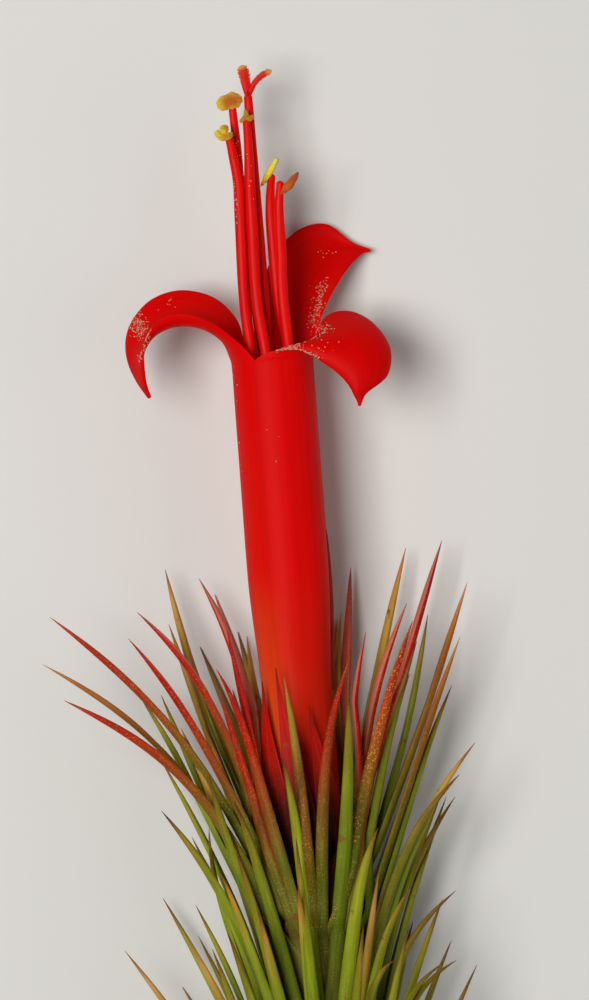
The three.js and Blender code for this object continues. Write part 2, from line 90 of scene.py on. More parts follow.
def add_piece(name, points, material, node, slot, **marks):
    """A piece of closed tubes over points[tube, row, ring], in shoot millimetres, with its marks:
    a value, vector or colour at each point, kept as attributes that the material reads."""
    mesh = bpy.data.meshes.new(name)
    vertices = (points.reshape(-1, 3) + SHOOT_FOOT) * MM
    mesh.from_pydata(vertices.tolist(), [], closed_tubes(points).tolist())
    mesh.polygons.foreach_set("use_smooth", np.ones(len(mesh.polygons), bool))
    kinds = {1: ("FLOAT", "value"), 3: ("FLOAT_VECTOR", "vector"), 4: ("FLOAT_COLOR", "color")}
    for mark, values in marks.items():
        values = np.atleast_1d(values)
        kind, field = kinds[values.shape[-1]]
        full = np.broadcast_to(values, points.shape[:3] + values.shape[-1:])
        attribute = mesh.attributes.new(mark, kind, "POINT")
        attribute.data.foreach_set(field, np.ascontiguousarray(full, np.float32).ravel())
    mesh.materials.append(material)
    mesh.update()
    piece = bpy.data.objects.new(name, mesh)
    bpy.context.scene.collection.objects.link(piece)
    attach(piece, "root")
    if node:
        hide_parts(node)


def linear(hex_colour):
    """An sRGB hex colour as linear red, green, blue and alpha: each channel is divided by 12.92
    where it is dark, and elsewhere raised by 0.055, divided by 1.055 and put to the power 2.4."""
    srgb = np.array([int(hex_colour[i : i + 2], 16) for i in (1, 3, 5)]) / 255
    channels = np.where(srgb <= 0.04045, srgb / 12.92, ((srgb + 0.055) / 1.055) ** 2.4)
    return (*channels.tolist(), 1.0)


def start_material(name):
    """A new material with an empty tree."""
    material = bpy.data.materials.new(name)
    material.use_nodes = True
    material.node_tree.nodes.clear()
    return material, material.node_tree


def add_node(tree, kind, settings=None, links=None):
    """Adds a node: settings are its own properties or its inputs' values, and links are its inputs'
    sources, each a socket, or a node for that node's first output."""
    node = tree.nodes.new("ShaderNode" + kind)
    for key, value in (settings or {}).items():
        if isinstance(key, int) or key in node.inputs:
            node.inputs[key].default_value = value
        else:
            setattr(node, key, value)
    for key, source in (links or {}).items():
        socket = source.outputs[0] if isinstance(source, bpy.types.Node) else source
        tree.links.new(socket, node.inputs[key])
    return node


def finish_material(tree, colour, relief, settings, depth, strength):
    """Ends a tree with its shader, which takes its colour from one source and its bumps from
    another: they are as high as the depth, in millimetres, times the strength."""
    bump = add_node(tree, "Bump", {"Strength": strength, "Distance": depth * MM}, {"Height": relief})
    shader = add_node(tree, "BsdfPrincipled", settings, {"Base Color": colour, "Normal": bump})
    add_node(tree, "OutputMaterial", {}, {"Surface": shader})


def stacked(*parts):
    """Numbers and arrays spread over one grid, side by side on its last axis."""
    return np.stack(np.broadcast_arrays(*parts), -1)


def full_turn(count):
    """Angles evenly spaced round a ring."""
    return np.linspace(0, 2 * np.pi, count, endpoint=False)


def stem_radius(along):
    """Radius by the distance along the shoot, straight between the stem's named heights."""
    return np.interp(along, STEM_HEIGHTS, STEM_RADII)


def stem_surface(along, turn):
    """The stem's radius carried round its axis, ribbed by a sine of the turn that sways a little."""
    radius = stem_radius(along) * (1 + RIB_HEIGHT * np.sin(RIB_COUNT * turn + RIB_SWAY * np.sin(along)))
    return stacked(radius * np.cos(turn), along, -radius * np.sin(turn))


# Stem rind: dry bark of dead sheath fibres, matt, with fibres about 0.15 mm wide along the stem.
FIBRE_WIDTH = 0.15
FIBRE_LENGTH = 25
stem_rind, tree = start_material("dry_fibrous_stem_rind")
place = add_node(tree, "TexCoord").outputs["Object"]
fibre_scale = [1 / (size * MM) for size in (FIBRE_WIDTH, FIBRE_LENGTH, FIBRE_WIDTH)]
along_fibre = add_node(tree, "Mapping", {"Scale": fibre_scale}, {"Vector": place})
fibres = add_node(tree, "TexNoise", {"Scale": 1.0, "Detail": 3.0}, {"Vector": along_fibre})
rind_tints = {"data_type": "RGBA", 6: linear("#30240f"), 7: linear("#665228")}
rind = add_node(tree, "Mix", rind_tints, {0: fibres}).outputs[2]
cut = add_node(tree, "Attribute", {"attribute_name": "cut"}).outputs["Fac"]
pith = add_node(tree, "Mix", {"data_type": "RGBA", 7: linear("#c9bf86")}, {0: cut, 6: rind}).outputs[2]
bark_settings = {"Roughness": 0.8, "Specular IOR Level": 0.25}
finish_material(tree, pith, fibres, bark_settings, depth=0.05, strength=0.5)

even_rows = np.linspace(CUT_END + EVEN_ROWS_FROM, CROWN_TOP, STEM_ROWS)
stem_along = np.concatenate([np.add(CUT_END, CUT_ROWS), even_rows])[:, None]
stem_points = stem_surface(stem_along, full_turn(STEM_RING))[None]
on_cut = (stem_along <= CUT_END + CUT_ROWS[1]).astype(float)
add_piece("cut_stem", stem_points, stem_rind, "leafy_stem", "leaf", cut=on_cut[..., None])


# Leaves. Stiff, needle-like, channelled blades of living tissue that clasp the stem with a short
# sheath and stand in a spiral; the ones underneath bend to lie along the surface. They are green,
# and redden towards the flower when the plant blooms; a coat of tiny scales makes them satin.
LEAF_LENGTH = 24
LEAF_WIDTH = 0.98
LEAF_ROWS = 64
SIDE_POINTS = 8
LINE_STEPS = 200

# Where they grow: the radius and the highest place of a root, the turn from one leaf to the next,
# and how far a leaf strays from its facing, its length and its lean.
LEAF_SUNK_TO = 1.5
HIGHEST_ROOT = -2.5
SPIRAL_TURN = 137.508
STRAY_FACING = 12
STRAY_LENGTH = 0.1
STRAY_LEAN = 4

# How they bend: the share of the length below the middle, the middle's share of the tip's reach,
# rise and height, and how near the two handles of the curve come to the bend.
LOWER_HALF = 0.56
MIDDLE_REACH = 0.38
MIDDLE_UP = 0.54
MIDDLE_HEIGHT = 0.45
BEND_REACH = 0.87

# A leaf in view faces the way of its middle across and a share of its tip's height. Where that is
# to the sky, by its sine, the root is gathered under it, all but a share.
TIP_PULL = 0.9
SKY_SINES = (0.05, 0.5)
ROOT_SPREAD = 0.45

# The section, in shares of the half width: the inner face's width, the channel's depth and how it
# fills towards the tip, its lips, the level of the leaf's line, and the blade's depth.
INNER_WIDTH = 0.94
CHANNEL_DEPTH = 0.42
CHANNEL_FILLING = 1.15
CHANNEL_FILLS = (0.45, 0.95)
LIP_DEPTH = 0.1
LINE_LEVEL = 0.35
BLADE_DEPTH = 0.92
TIP_WIDTH = 0.03
TIP_SHARPNESS = 4

# The sheath: its half width and thickness, how far up it swells, and where it turns to the blade.
SHEATH_HALF = 1.5
SHEATH_THICKNESS = 0.16
SHEATH_SWELL = 0.1
SHEATH_ENDS = (0.08, 0.3)

# How far the blades keep from the axis beside the calyx, beside the tube above it and over the
# bract, where along the shoot each begins, and from how far up a leaf.
CALYX_CLEARANCE = 3.5
CALYX_BEGINS = (-8, -3.5)
TUBE_CLEARANCE = 3.0
TUBE_BEGINS = (11.5, 14)
BRACT_CLEARANCE = 1.0
BRACT_BEGINS = (-3, 0)
BRACT_FACING = 100
BRACT_SPREAD = 45
KEPT_FROM = 0.12

# The sines of the facing at which lines are lifted over the calyx, how far sheaths rise from the
# rind halfway up, so that older ones lie over younger ones, and how high above the surface a blade
# that lies on it runs, and how softly it comes down to it.
LIFTED_SINES = (0.25, 0.8)
SHEATH_RISE = 0.6
RESTING_HEIGHT = 0.12
RESTING_SOFTNESS = 0.4

# Colours up a blade of each kind, from its sheath to its tip.
TINT_STOPS = [0, 0.34, 0.54, 0.72, 0.9, 1]
LEAF_TINTS = {
    "green": ["#6c6a26", "#5d6d10", "#6b7b12", "#7e8a17", "#86741a", "#5a2410"],
    "lime": ["#72722a", "#697a12", "#7b8a16", "#909c1c", "#8f8a20", "#6b1a14"],
    "olive": ["#686024", "#5a5c0e", "#6b6d12", "#7b7517", "#80601c", "#5a2410"],
    "tan": ["#727028", "#686e12", "#7c7c1a", "#987820", "#b78a42", "#8e5c2c"],
    "orange": ["#726c26", "#60620f", "#7a5e14", "#8e5216", "#a45e1a", "#c08a4c"],
    "gold": ["#726c26", "#6e7016", "#88781c", "#a28620", "#b8842a", "#a8603a"],
    "bronze": ["#6c6a22", "#6a6a14", "#7c4c12", "#86561a", "#a08c26", "#b0663a"],
    "brick": ["#6e6826", "#626812", "#7c5412", "#a2340f", "#b01c0c", "#a04a34"],
    "scarlet": ["#6e6826", "#666618", "#8e4612", "#b4200b", "#b4120b", "#9c3a2a"],
    "gilded": ["#6c6a26", "#62690f", "#8a6414", "#b8460f", "#b41c0c", "#a83a2c"],
    "crimson": ["#7e5a2c", "#8e3c1a", "#ae2112", "#b80f0c", "#ae0d12", "#862420"],
    "salmon": ["#926040", "#ae5c42", "#b6583e", "#b24032", "#a62b22", "#8a3020"],
    "scorched": ["#72722a", "#697a12", "#75841a", "#86901c", "#b88b34", "#6b2f14"],
    "dry": ["#7a5c34", "#8c6a3c", "#a07c48", "#a88550", "#9a7442", "#6e4c28"],
}

# Kinds whose inner face is pale under its coat of scales.
PALE_INSIDE = ("crimson", "scarlet", "gilded")

# How thick the coat of scales is on the kinds whose coat isn't thin.
THICK_COAT = {"gilded": 4.5, "bronze": 2.2, "brick": 1.5, "scarlet": 1.4, "lime": 1.2}

# How pale the inner face of the other kinds is, where up a blade it opens enough to show, and how
# much leaves differ in shade.
DULL_INSIDE = 0.25
OPEN_PART = (0.4, 0.68)
SHADE_STRAY = 0.12

# Leaves that face the sky and the two flanks, read off the plant one by one: kind, place of the
# tip, the middle of the blade [across, along], and how wide it is beside the others.
LEAVES_IN_VIEW = [
    ("brick", (-14.4, 15.1, 2.0), (-6.9, 6.8), 1.0),
    ("orange", (-15.1, 12.3, 0.5), (-7.4, 5.4), 0.9),
    ("brick", (-13.9, 10.1, 3.5), (-6.2, 3.6), 1.1),
    ("scarlet", (-9.8, 13.5, 3.5), (-5.8, 6.8), 0.95),
    ("scarlet", (-9.2, 15.0, 1.0), (-4.8, 8.2), 1.1),
    ("tan", (-7.4, 17.4, -4.0), (-5.7, 9.5), 1.1),
    ("tan", (-7.4, 14.1, -2.0), (-5.5, 7.2), 1.0),
    ("crimson", (-5.4, 16.7, -3.5), (-3.1, 9.9), 1.1),
    ("crimson", (-3.9, 13.6, 2.6), (-2.9, 6.8), 1.0),
    ("scarlet", (-4.7, 11.3, 4.4), (-3.1, 6.4), 0.95),
    ("scarlet", (-4.7, 10.0, 3.6), (-3.6, 5.4), 0.9),
    ("gold", (-2.8, 13.0, -5.5), (-2.3, 6.8), 1.0),
    ("bronze", (-0.7, 10.5, 5.6), (-0.2, 3.2), 0.9),
    ("lime", (-1.1, 5.7, 6.8), (-0.5, -1.2), 1.0),
    ("lime", (-9.5, 10.0, -1.5), (-6.5, 3.8), 0.95),
    ("lime", (-8.2, 9.9, -2.5), (-6.0, 3.5), 0.9),
    ("tan", (-7.1, 7.9, 1.5), (-5.2, 2.2), 1.0),
    ("green", (-8.6, 3.1, 3.5), (-4.6, -4.2), 1.1),
    ("scorched", (-5.4, -0.7, 4.5), (-3.9, -5.7), 0.95),
    ("green", (-5.9, 1.7, -1.0), (-5.3, -3.8), 0.9),
    ("lime", (-6.2, -5.4, 2.5), (-4.4, -11.7), 1.0),
    ("scorched", (-3.3, -3.1, 6.2), (-2.4, -8.8), 1.05),
    ("green", (-5.2, -4.4, 4.2), (-3.8, -9.9), 1.0),
    ("green", (-5.6, 5.0, 4.0), (-4.4, -0.6), 1.1),
    ("green", (-4.2, 3.4, 5.4), (-2.8, -2.4), 1.1),
    ("salmon", (2.5, 19.1, -5.0), (2.2, 12.4), 1.0),
    ("salmon", (3.8, 16.7, -4.4), (2.9, 9.4), 1.1),
    ("gold", (3.0, 14.0, -4.0), (2.2, 7.7), 1.0),
    ("crimson", (4.4, 12.8, -1.0), (3.1, 6.7), 0.95),
    ("gold", (7.2, 17.6, -4.5), (4.3, 7.8), 1.1),
    ("scarlet", (7.0, 14.3, -2.8), (4.0, 6.6), 1.1),
    ("crimson", (9.4, 17.9, -3.6), (6.4, 10.1), 1.1),
    ("gilded", (7.2, 13.3, 3.8), (4.3, 5.5), 1.2),
    ("scarlet", (6.6, 10.4, 2.4), (3.9, 3.6), 1.0),
    ("orange", (10.7, 15.3, -1.0), (7.1, 6.6), 1.05),
    ("orange", (10.0, 12.1, 0.6), (6.5, 4.0), 0.95),
    ("green", (8.2, 13.5, -2.6), (6.1, 5.9), 0.95),
    ("lime", (6.8, 10.1, 1.0), (4.5, 3.6), 1.15),
    ("green", (9.3, 9.2, -0.6), (6.2, 2.2), 0.95),
    ("brick", (3.3, 11.4, 4.6), (1.3, 4.4), 0.9),
    ("green", (3.1, 9.5, 5.8), (2.3, 1.0), 1.15),
    ("scorched", (10.4, 5.7, 1.4), (6.0, -0.8), 1.0),
    ("olive", (9.3, 3.9, 2.4), (5.1, -1.9), 1.1),
    ("lime", (4.2, 1.2, 6.4), (2.5, -4.1), 1.2),
    ("olive", (9.0, 2.5, -0.8), (4.8, -4.9), 1.0),
    ("green", (6.0, -2.4, 4.4), (3.4, -7.8), 1.0),
    ("lime", (4.6, -6.7, 6.2), (2.6, -10.4), 1.1),
    ("olive", (8.6, -3.1, 0.2), (4.3, -8.7), 1.0),
    ("green", (8.3, -7.2, 1.6), (4.6, -11.5), 1.0),
    ("green", (7.5, -7.2, 3.2), (4.1, -11.7), 1.0),
    ("olive", (4.9, -1.8, 1.0), (3.2, -6.9), 1.0),
    ("scorched", (-0.8, -1.8, 7.0), (-0.6, -7.5), 1.0),
]

# The other leaves follow the plant's spiral: the side that faces the surface, up to the flower,
# steeper ones behind those on the flanks, and every side of the lower stem. They lean from the stem
# by the first to the last lean. A kind is drawn from those of the leaves whose feet are above a
# place along the stem.
SPIRAL_LEAVES = {
    "leaves_underneath": {
        "rule": {"feet": (-5, -22), "spacing": 0.22, "arc": (225, 315), "leans": (24, 22), "seed": 11},
        "kinds": {-9: "scarlet brick orange gold", -22: "green lime olive tan"},
        "widths": (0.9, 1.1),
    },
    "flank_leaves": {
        "rule": {"feet": (-12, -23), "spacing": 0.5, "arc": (170, 360), "leans": (12, 16), "seed": 5},
        "kinds": {-23: "green lime olive scorched"},
        "widths": (0.85, 1.05),
    },
    "lower_leaves": {
        "rule": {"feet": (-22, -42), "spacing": 0.42, "arc": (0, 360), "leans": (13, 30), "seed": 29},
        "kinds": {-37: "green green lime olive tan", -42: "olive tan dry"},
        "widths": (0.9, 1.1),
    },
}


def smoothstep(x, low, high):
    """Rises from 0 at low to 1 at high, as 3 s^2 - 2 s^3 of the share s of the way."""
    share = np.clip((x - low) / (high - low), 0, 1)
    return share * share * (3 - 2 * share)


def round_axis(radius, degrees, along):
    """Points at a radius from the axis, turned from across towards out, at a distance along it."""
    turn = np.radians(degrees)
    return stacked(radius * np.cos(turn), along, radius * np.sin(turn))


def unit(vectors):
    """Vectors divided by their length."""
    return vectors / np.linalg.norm(vectors, axis=-1, keepdims=True)


def draws(seed):
    """Endless numbers between -1 and 1: each state is 16807 times the last, modulo 2147483647."""
    state = seed
    while True:
        state = state * 16807 % 2147483647
        yield 2 * state / 2147483647 - 1


def leaves_in_view():
    """Roots, middles and tips: a root lies on the round that leaves are sunk to, as far below the
    middle as makes the lower part of the blade its share of the leaf."""
    _, tips, middles, _ = zip(*LEAVES_IN_VIEW)
    tips = np.array(tips)
    middle_across, middle_along = np.transpose(middles)
    facing = np.arctan2(TIP_PULL * tips[:, 2], middle_across)
    gathered = (1 - ROOT_SPREAD) * smoothstep(np.sin(facing), *SKY_SINES)
    root_facing = facing + gathered * (np.pi / 2 - facing)
    root_across = LEAF_SUNK_TO * np.cos(root_facing)
    root_out = LEAF_SUNK_TO * np.sin(root_facing)
    middle_out = root_out + MIDDLE_HEIGHT * (tips[:, 2] - root_out)
    spread = np.hypot(middle_across - root_across, middle_out - root_out)
    rise = np.sqrt((LOWER_HALF * LEAF_LENGTH) ** 2 - spread**2)
    root_along = np.minimum(middle_along - rise, HIGHEST_ROOT)
    return stacked(root_across, root_along, root_out), stacked(middle_across, middle_along, middle_out), tips


def leaves_on_spiral(feet, spacing, arc, leans, seed):
    """Roots, middles and tips of leaves a spiral turn apart, each a little astray, of which those
    that face within the arc are kept. A lean is the angle between the leaf and the axis."""
    draw = draws(seed)
    count = int(np.ceil((feet[0] - feet[1]) / spacing))
    strays = np.array([[next(draw) for _ in range(3)] for _ in range(count)])
    facing = (np.arange(count) * SPIRAL_TURN + STRAY_FACING * strays[:, 0]) % 360
    kept = (facing >= arc[0]) & (facing <= arc[1])
    facing = facing[kept]
    foot = (feet[0] - np.arange(count) * spacing)[kept]
    length = LEAF_LENGTH * (1 + STRAY_LENGTH * strays[kept, 1])
    even_lean = leans[0] + (leans[1] - leans[0]) * (feet[0] - foot) / (feet[0] - feet[1])
    lean = np.radians(even_lean + STRAY_LEAN * strays[kept, 2])
    reach = length * np.sin(lean)
    rise = length * np.cos(lean)
    roots = round_axis(LEAF_SUNK_TO, facing, foot)
    middles = round_axis(LEAF_SUNK_TO + MIDDLE_REACH * reach, facing, foot + MIDDLE_UP * rise)
    return roots, middles, round_axis(LEAF_SUNK_TO + reach, facing, foot + rise)


def bent_clear(points):
    """Lines kept off the axis by the stem's rind and the flower's clearance, which is less beside
    the tube than beside the calyx, and more over the bract by a bell curve. Points that face the
    sky are lifted to it, and the rest pushed out. Near the surface that the shoot lies on they
    close in on it exponentially."""
    along = points[..., 1]
    up = np.linspace(0, 1, LEAF_ROWS)
    turn = np.arctan2(points[..., 2], points[..., 0])
    above_calyx = smoothstep(along, *TUBE_BEGINS)
    beside_flower = CALYX_CLEARANCE + (TUBE_CLEARANCE - CALYX_CLEARANCE) * above_calyx
    over_bract = BRACT_CLEARANCE * np.exp(-(((np.degrees(turn) - BRACT_FACING) / BRACT_SPREAD) ** 2))
    clearance = beside_flower * smoothstep(along, *CALYX_BEGINS)
    clearance = clearance + over_bract * (smoothstep(along, *BRACT_BEGINS) - above_calyx)
    on_rind = (stem_radius(along) + 2 * SHEATH_RISE * up) * (along < CROWN_TOP)
    clearance = np.maximum(clearance * smoothstep(up, 0, KEPT_FROM), on_rind)
    bent = points.copy()
    over = np.sqrt(np.maximum(clearance**2 - bent[..., 0] ** 2, 0))
    bent[..., 2] += smoothstep(np.sin(turn), *LIFTED_SINES) * np.maximum(over - bent[..., 2], 0)
    push = np.maximum(1, clearance / np.hypot(bent[..., 0], bent[..., 2]))
    bent = bent * stacked(push, 1, push)
    resting = RESTING_HEIGHT - AXIS_HEIGHT
    height = (bent[..., 2] - resting) / RESTING_SOFTNESS
    lying = resting + RESTING_SOFTNESS * np.exp(np.minimum(height, 1) - 1)
    bent[..., 2] = np.where(height < 1, lying, bent[..., 2])
    return bent


def leaf_lines(roots, middles, tips):
    """Lines from root over middle to tip, nearly straight on both sides of one bend: curves of the
    third degree whose two handles reach most of the way to the bend, in steps of equal length."""
    halfway = (roots + tips) / 2
    bend = halfway + (middles - halfway) * 4 / (3 * BEND_REACH)
    low, high = (end + (bend - end) * BEND_REACH for end in (roots, tips))
    way = np.linspace(0, 1, LINE_STEPS)[:, None]
    weights = [(1 - way) ** 3, 3 * (1 - way) ** 2 * way, 3 * (1 - way) * way**2, way**3]
    lines = sum(weight * corner[:, None] for weight, corner in zip(weights, (roots, low, high, tips)))
    steps = np.linalg.norm(np.diff(lines, axis=1), axis=-1)
    gone = np.concatenate([np.zeros((len(roots), 1)), np.cumsum(steps, axis=1)], 1)
    even = gone[:, -1:] * np.linspace(0, 1, LEAF_ROWS)
    spaced = [
        [np.interp(at, known, places) for places in line.T]
        for at, known, line in zip(even, gone, lines)
    ]
    return np.moveaxis(np.array(spaced), 1, 2)


def leaf_surface(roots, middles, tips, widths):
    """Leaves over two parameters: the way up the leaf's line, and the way round its section, a half
    ellipse outside and a channel inside. The width closes to the tip as one minus an exponential
    and swells into the sheath as a bell curve; the sheath's section is laid round the axis, the
    blade's square to its line. Gives the points and how they lie: across, along and which leaf."""
    up = np.linspace(0, 1, LEAF_ROWS)[None, :, None]
    line = bent_clear(leaf_lines(roots, middles, tips))
    heading = unit(np.gradient(line, axis=1))
    outward = unit(middles * [1, 0, 1])[:, None]
    across = unit(np.cross(heading, np.broadcast_to(outward, heading.shape)))
    out = np.cross(across, heading)

    turn = np.linspace(np.pi, 0, SIDE_POINTS)
    section_across = np.concatenate([np.cos(turn), INNER_WIDTH * np.cos(turn[::-1])])
    bulge = np.sin(turn)
    channel = CHANNEL_DEPTH - CHANNEL_FILLING * smoothstep(up, *CHANNEL_FILLS)
    inside = channel * bulge[::-1] - LIP_DEPTH
    outside = np.broadcast_to(bulge, inside.shape)
    section_out = np.concatenate([outside, inside], -1) - LINE_LEVEL

    closing = TIP_WIDTH + (1 - TIP_WIDTH) * (1 - np.exp(-TIP_SHARPNESS * (1 - up)))
    blade_half = 0.5 * LEAF_WIDTH * widths[:, None, None] * closing
    wrap = 1 - smoothstep(up, *SHEATH_ENDS)
    half = blade_half + SHEATH_HALF * np.exp(-((up / SHEATH_SWELL) ** 2))
    depth = BLADE_DEPTH * blade_half * (1 - wrap) + SHEATH_THICKNESS * wrap
    aside = half * section_across
    raised = depth * section_out

    flat = line[:, :, None] + across[:, :, None] * aside[..., None] + out[:, :, None] * raised[..., None]
    radius = np.hypot(line[..., 0], line[..., 2])[..., None]
    degrees = np.degrees(np.arctan2(line[..., 2], line[..., 0])[..., None] - aside / radius)
    wrapped = round_axis(radius + raised, degrees, line[..., 1][..., None])
    points = flat + (wrapped - flat) * wrap[..., None]
    points[..., 2] = np.maximum(points[..., 2], -AXIS_HEIGHT)
    return points, stacked(aside, LEAF_LENGTH * up, np.arange(len(roots))[:, None, None])


def ramp(way, tints, stops=None):
    """Colours straight between tints, at the share of the way: the tints stand at their stops, or
    evenly spaced."""
    colours = np.array([linear(tint) for tint in tints])
    stops = stops or np.linspace(0, 1, len(tints))
    return np.stack([np.interp(way, stops, channel) for channel in colours.T], -1)


def streaked_tint(tree, per_mm, detail, dark, light):
    """A piece's own tint, scaled from dark to light by a noise drawn out along the piece: it has so
    many grains to the millimetre across and along, and the last number tells pieces apart. Gives
    the colour and the noise."""
    tint = add_node(tree, "Attribute", {"attribute_name": "tint"})
    lie = add_node(tree, "Attribute", {"attribute_name": "lie"}).outputs["Vector"]
    drawn_out = add_node(tree, "VectorMath", {"operation": "MULTIPLY", 1: per_mm}, {0: lie})
    streaks = add_node(tree, "TexNoise", {"Scale": 1.0, "Detail": detail}, {"Vector": drawn_out})
    shades = {"From Min": 0.3, "From Max": 0.7, "To Min": dark, "To Max": light}
    shade = add_node(tree, "MapRange", shades, {"Value": streaks})
    return add_node(tree, "VectorMath", {"operation": "SCALE"}, {0: tint, "Scale": shade}), streaks


# Leaf skin: living epidermis under a coat of flat hairs, golden scales about 0.13 mm apart that lie
# in patches and break up the gloss to a satin. Fine streaks run along the blade, its inner face is
# paler, and a few spots have dried brown.
SCALE_SPACING = 0.13
PATCH_SIZE = 0.8
SPOT_SIZE = 1.1
leaf_skin, tree = start_material("scaly_leaf_skin")
place = add_node(tree, "TexCoord").outputs["Object"]
inner = add_node(tree, "Attribute", {"attribute_name": "inner"}).outputs["Fac"]
coat = add_node(tree, "Attribute", {"attribute_name": "coat"}).outputs["Fac"]
scales = add_node(tree, "TexVoronoi", {"Scale": 1 / (SCALE_SPACING * MM)}, {"Vector": place})
scale_shape = add_node(tree, "MapRange", {"From Min": 0.42, "From Max": 0.12}, {"Value": scales})
patches = add_node(tree, "TexNoise", {"Scale": 1 / (PATCH_SIZE * MM), "Detail": 3.0}, {"Vector": place})
patch_shares = {"From Min": 0.4, "From Max": 0.65, "To Min": 0.1, "To Max": 0.36}
patch_share = add_node(tree, "MapRange", patch_shares, {"Value": patches})
coat_share = add_node(tree, "Math", {"operation": "MULTIPLY"}, {0: coat, 1: patch_share})
scale_cover = add_node(tree, "Math", {"operation": "MULTIPLY"}, {0: scale_shape, 1: coat_share})
inner_cover = add_node(tree, "Math", {"operation": "MULTIPLY", 1: 0.4}, {0: inner})
spots = add_node(tree, "TexNoise", {"Scale": 1 / (SPOT_SIZE * MM)}, {"Vector": place})
spot_shares = {"From Min": 0.69, "From Max": 0.74, "To Max": 0.7}
spot_cover = add_node(tree, "MapRange", spot_shares, {"Value": spots})
skin_colour, streaks = streaked_tint(tree, (7.0, 0.35, 3.7), detail=2.0, dark=0.78, light=1.16)
for tint, cover in (("#cf9a80", inner_cover), ("#dca24c", scale_cover), ("#7c4416", spot_cover)):
    covered = add_node(tree, "Mix", {"data_type": "RGBA", 7: linear(tint)}, {0: cover, 6: skin_colour})
    skin_colour = covered.outputs[2]
grain = add_node(tree, "Math", {"operation": "ADD"}, {0: scale_shape, 1: streaks})
finish_material(tree, skin_colour, grain, {
    "Roughness": 0.5,
    "Specular IOR Level": 0.1,
    "Subsurface Weight": 0.12,
    "Subsurface Radius": (1.0, 0.8, 0.2),
    "Subsurface Scale": 0.3 * MM,
}, depth=0.03, strength=0.45)

kind_draws = np.random.default_rng(7)


def add_leaves(name, shapes, kinds, widths):
    """Leaves in one piece, each a little lighter or darker than the next."""
    points, lie = leaf_surface(*shapes, widths)
    up = np.linspace(0, 1, LEAF_ROWS)[:, None, None]
    shades = 1 + SHADE_STRAY * kind_draws.uniform(-1, 1, (len(kinds), 1, 1, 1))
    tints = np.stack([ramp(up[..., 0], LEAF_TINTS[kind], TINT_STOPS) for kind in kinds])
    paleness = np.array([1.0 if kind in PALE_INSIDE else DULL_INSIDE for kind in kinds])
    inner_face = np.repeat([0.0, 1.0], SIDE_POINTS)[:, None]
    coats = np.array([THICK_COAT.get(kind, 1.0) for kind in kinds])
    add_piece(
        name, points, leaf_skin, "leafy_stem", "leaf",
        tint=tints * shades,
        inner=inner_face * smoothstep(up, *OPEN_PART) * paleness.reshape(-1, 1, 1, 1),
        lie=lie,
        coat=coats.reshape(-1, 1, 1, 1),
    )


kinds, _, _, widths = zip(*LEAVES_IN_VIEW)
add_leaves("leaves_in_view", leaves_in_view(), kinds, np.array(widths))
for name, leaves in SPIRAL_LEAVES.items():
    shapes = leaves_on_spiral(**leaves["rule"])
    kinds = []
    for foot in shapes[0][:, 1]:
        names = next(names for place, names in leaves["kinds"].items() if foot > place)
        kinds.append(kind_draws.choice(names.split()))
    add_leaves(name, shapes, kinds, kind_draws.uniform(*leaves["widths"], len(kinds)))


# Bract and sepals. Thin pointed scale leaves, red where they are lit, that hug the foot of the
# flower: one bract outside, and three sepals inside it that stand round the tube. Each has a raised
# midrib, thin edges and the leaves' skin.
FLOWER_FOOT = 0.5
SEPAL_SCALES = {
    "sepal_1": {"facing": 138, "half_arc": 42, "length": 9.8, "skew": 0, "outside": SEPAL_OUTSIDE},
    "sepal_2": {"facing": 77, "half_arc": 32, "length": 8.2, "skew": 1, "outside": SEPAL_OUTSIDE},
    "sepal_3": {"facing": 270, "half_arc": 45, "length": 9.2, "skew": 0, "outside": SEPAL_OUTSIDE},
    "floral_bract": {"facing": 110, "half_arc": 20, "length": 10.6, "skew": 1, "outside": 3.6},
}
SCALE_ROWS = 56
SCALE_POINTS = 23
SCALE_WIDTH = 2.5
SCALE_TAPER = 1.3
TIP_ARC = 0.5
MIDRIB_HEIGHT = 0.1
MIDRIB_WIDTH = 0.12
FOOT_RADIUS = 2.45
FOOT_DROP = 2.6
FOOT_POWER = 8
# Colours up a scale from its foot: red above, darkening to near black at the foot, which is painted shade
# where the scales go down among the leaves.
SCALE_TINTS_AND_FOOT_SHADE = ["#160704", "#4e1006", "#a41406", "#bc0c04", "#8c0c06"]
SEPAL_COAT = 0.15

# The wall at the middle of the foot, and how much of it is lost at the edges and at the tip.
SCALE_WALL = 0.32
EDGE_THINNING = 0.7
TIP_THINNING = 0.85


def walled(outer, wall):
    """Closed rings over a grid of rows: the inner face, then the outer one back. The inner face lies
    behind the outer by the wall's thickness, square to the cross product of the ways up and across."""
    across = np.gradient(outer, axis=1, edge_order=2)
    behind = unit(np.cross(across, np.gradient(outer, axis=0, edge_order=2)))
    return np.concatenate([outer + behind * wall, outer[:, ::-1]], axis=1)


def lie_on_wall(side, width, along, number):
    """How the rings of a walled grid lie: across, there and back, along, and a number that tells
    one piece's streaks from the next one's."""
    return stacked(width * np.concatenate([side, side[:, ::-1]], 1), along, number)


def scale_surface(up, side, facing, half_arc, length, skew, outside):
    """A piece of a round wall whose arc closes to its tip by a power of what is left of the way up,
    with a midrib raised as a bell curve. With a skew of 0 the tip stands over the foot's middle,
    and with 1 over its edge. The foot closes in on the crown by a high power of the same."""
    arc = half_arc * (1 - up) ** SCALE_TAPER + TIP_ARC
    midrib = MIDRIB_HEIGHT * np.exp(-((side / MIDRIB_WIDTH) ** 2)) * (1 - up)
    foot = (1 - up) ** FOOT_POWER
    along = FLOWER_FOOT + up * length - FOOT_DROP * foot
    radius = outside + midrib - MIDRIB_HEIGHT + (FOOT_RADIUS - outside) * foot
    return round_axis(radius, facing + (side - skew) * arc, along)


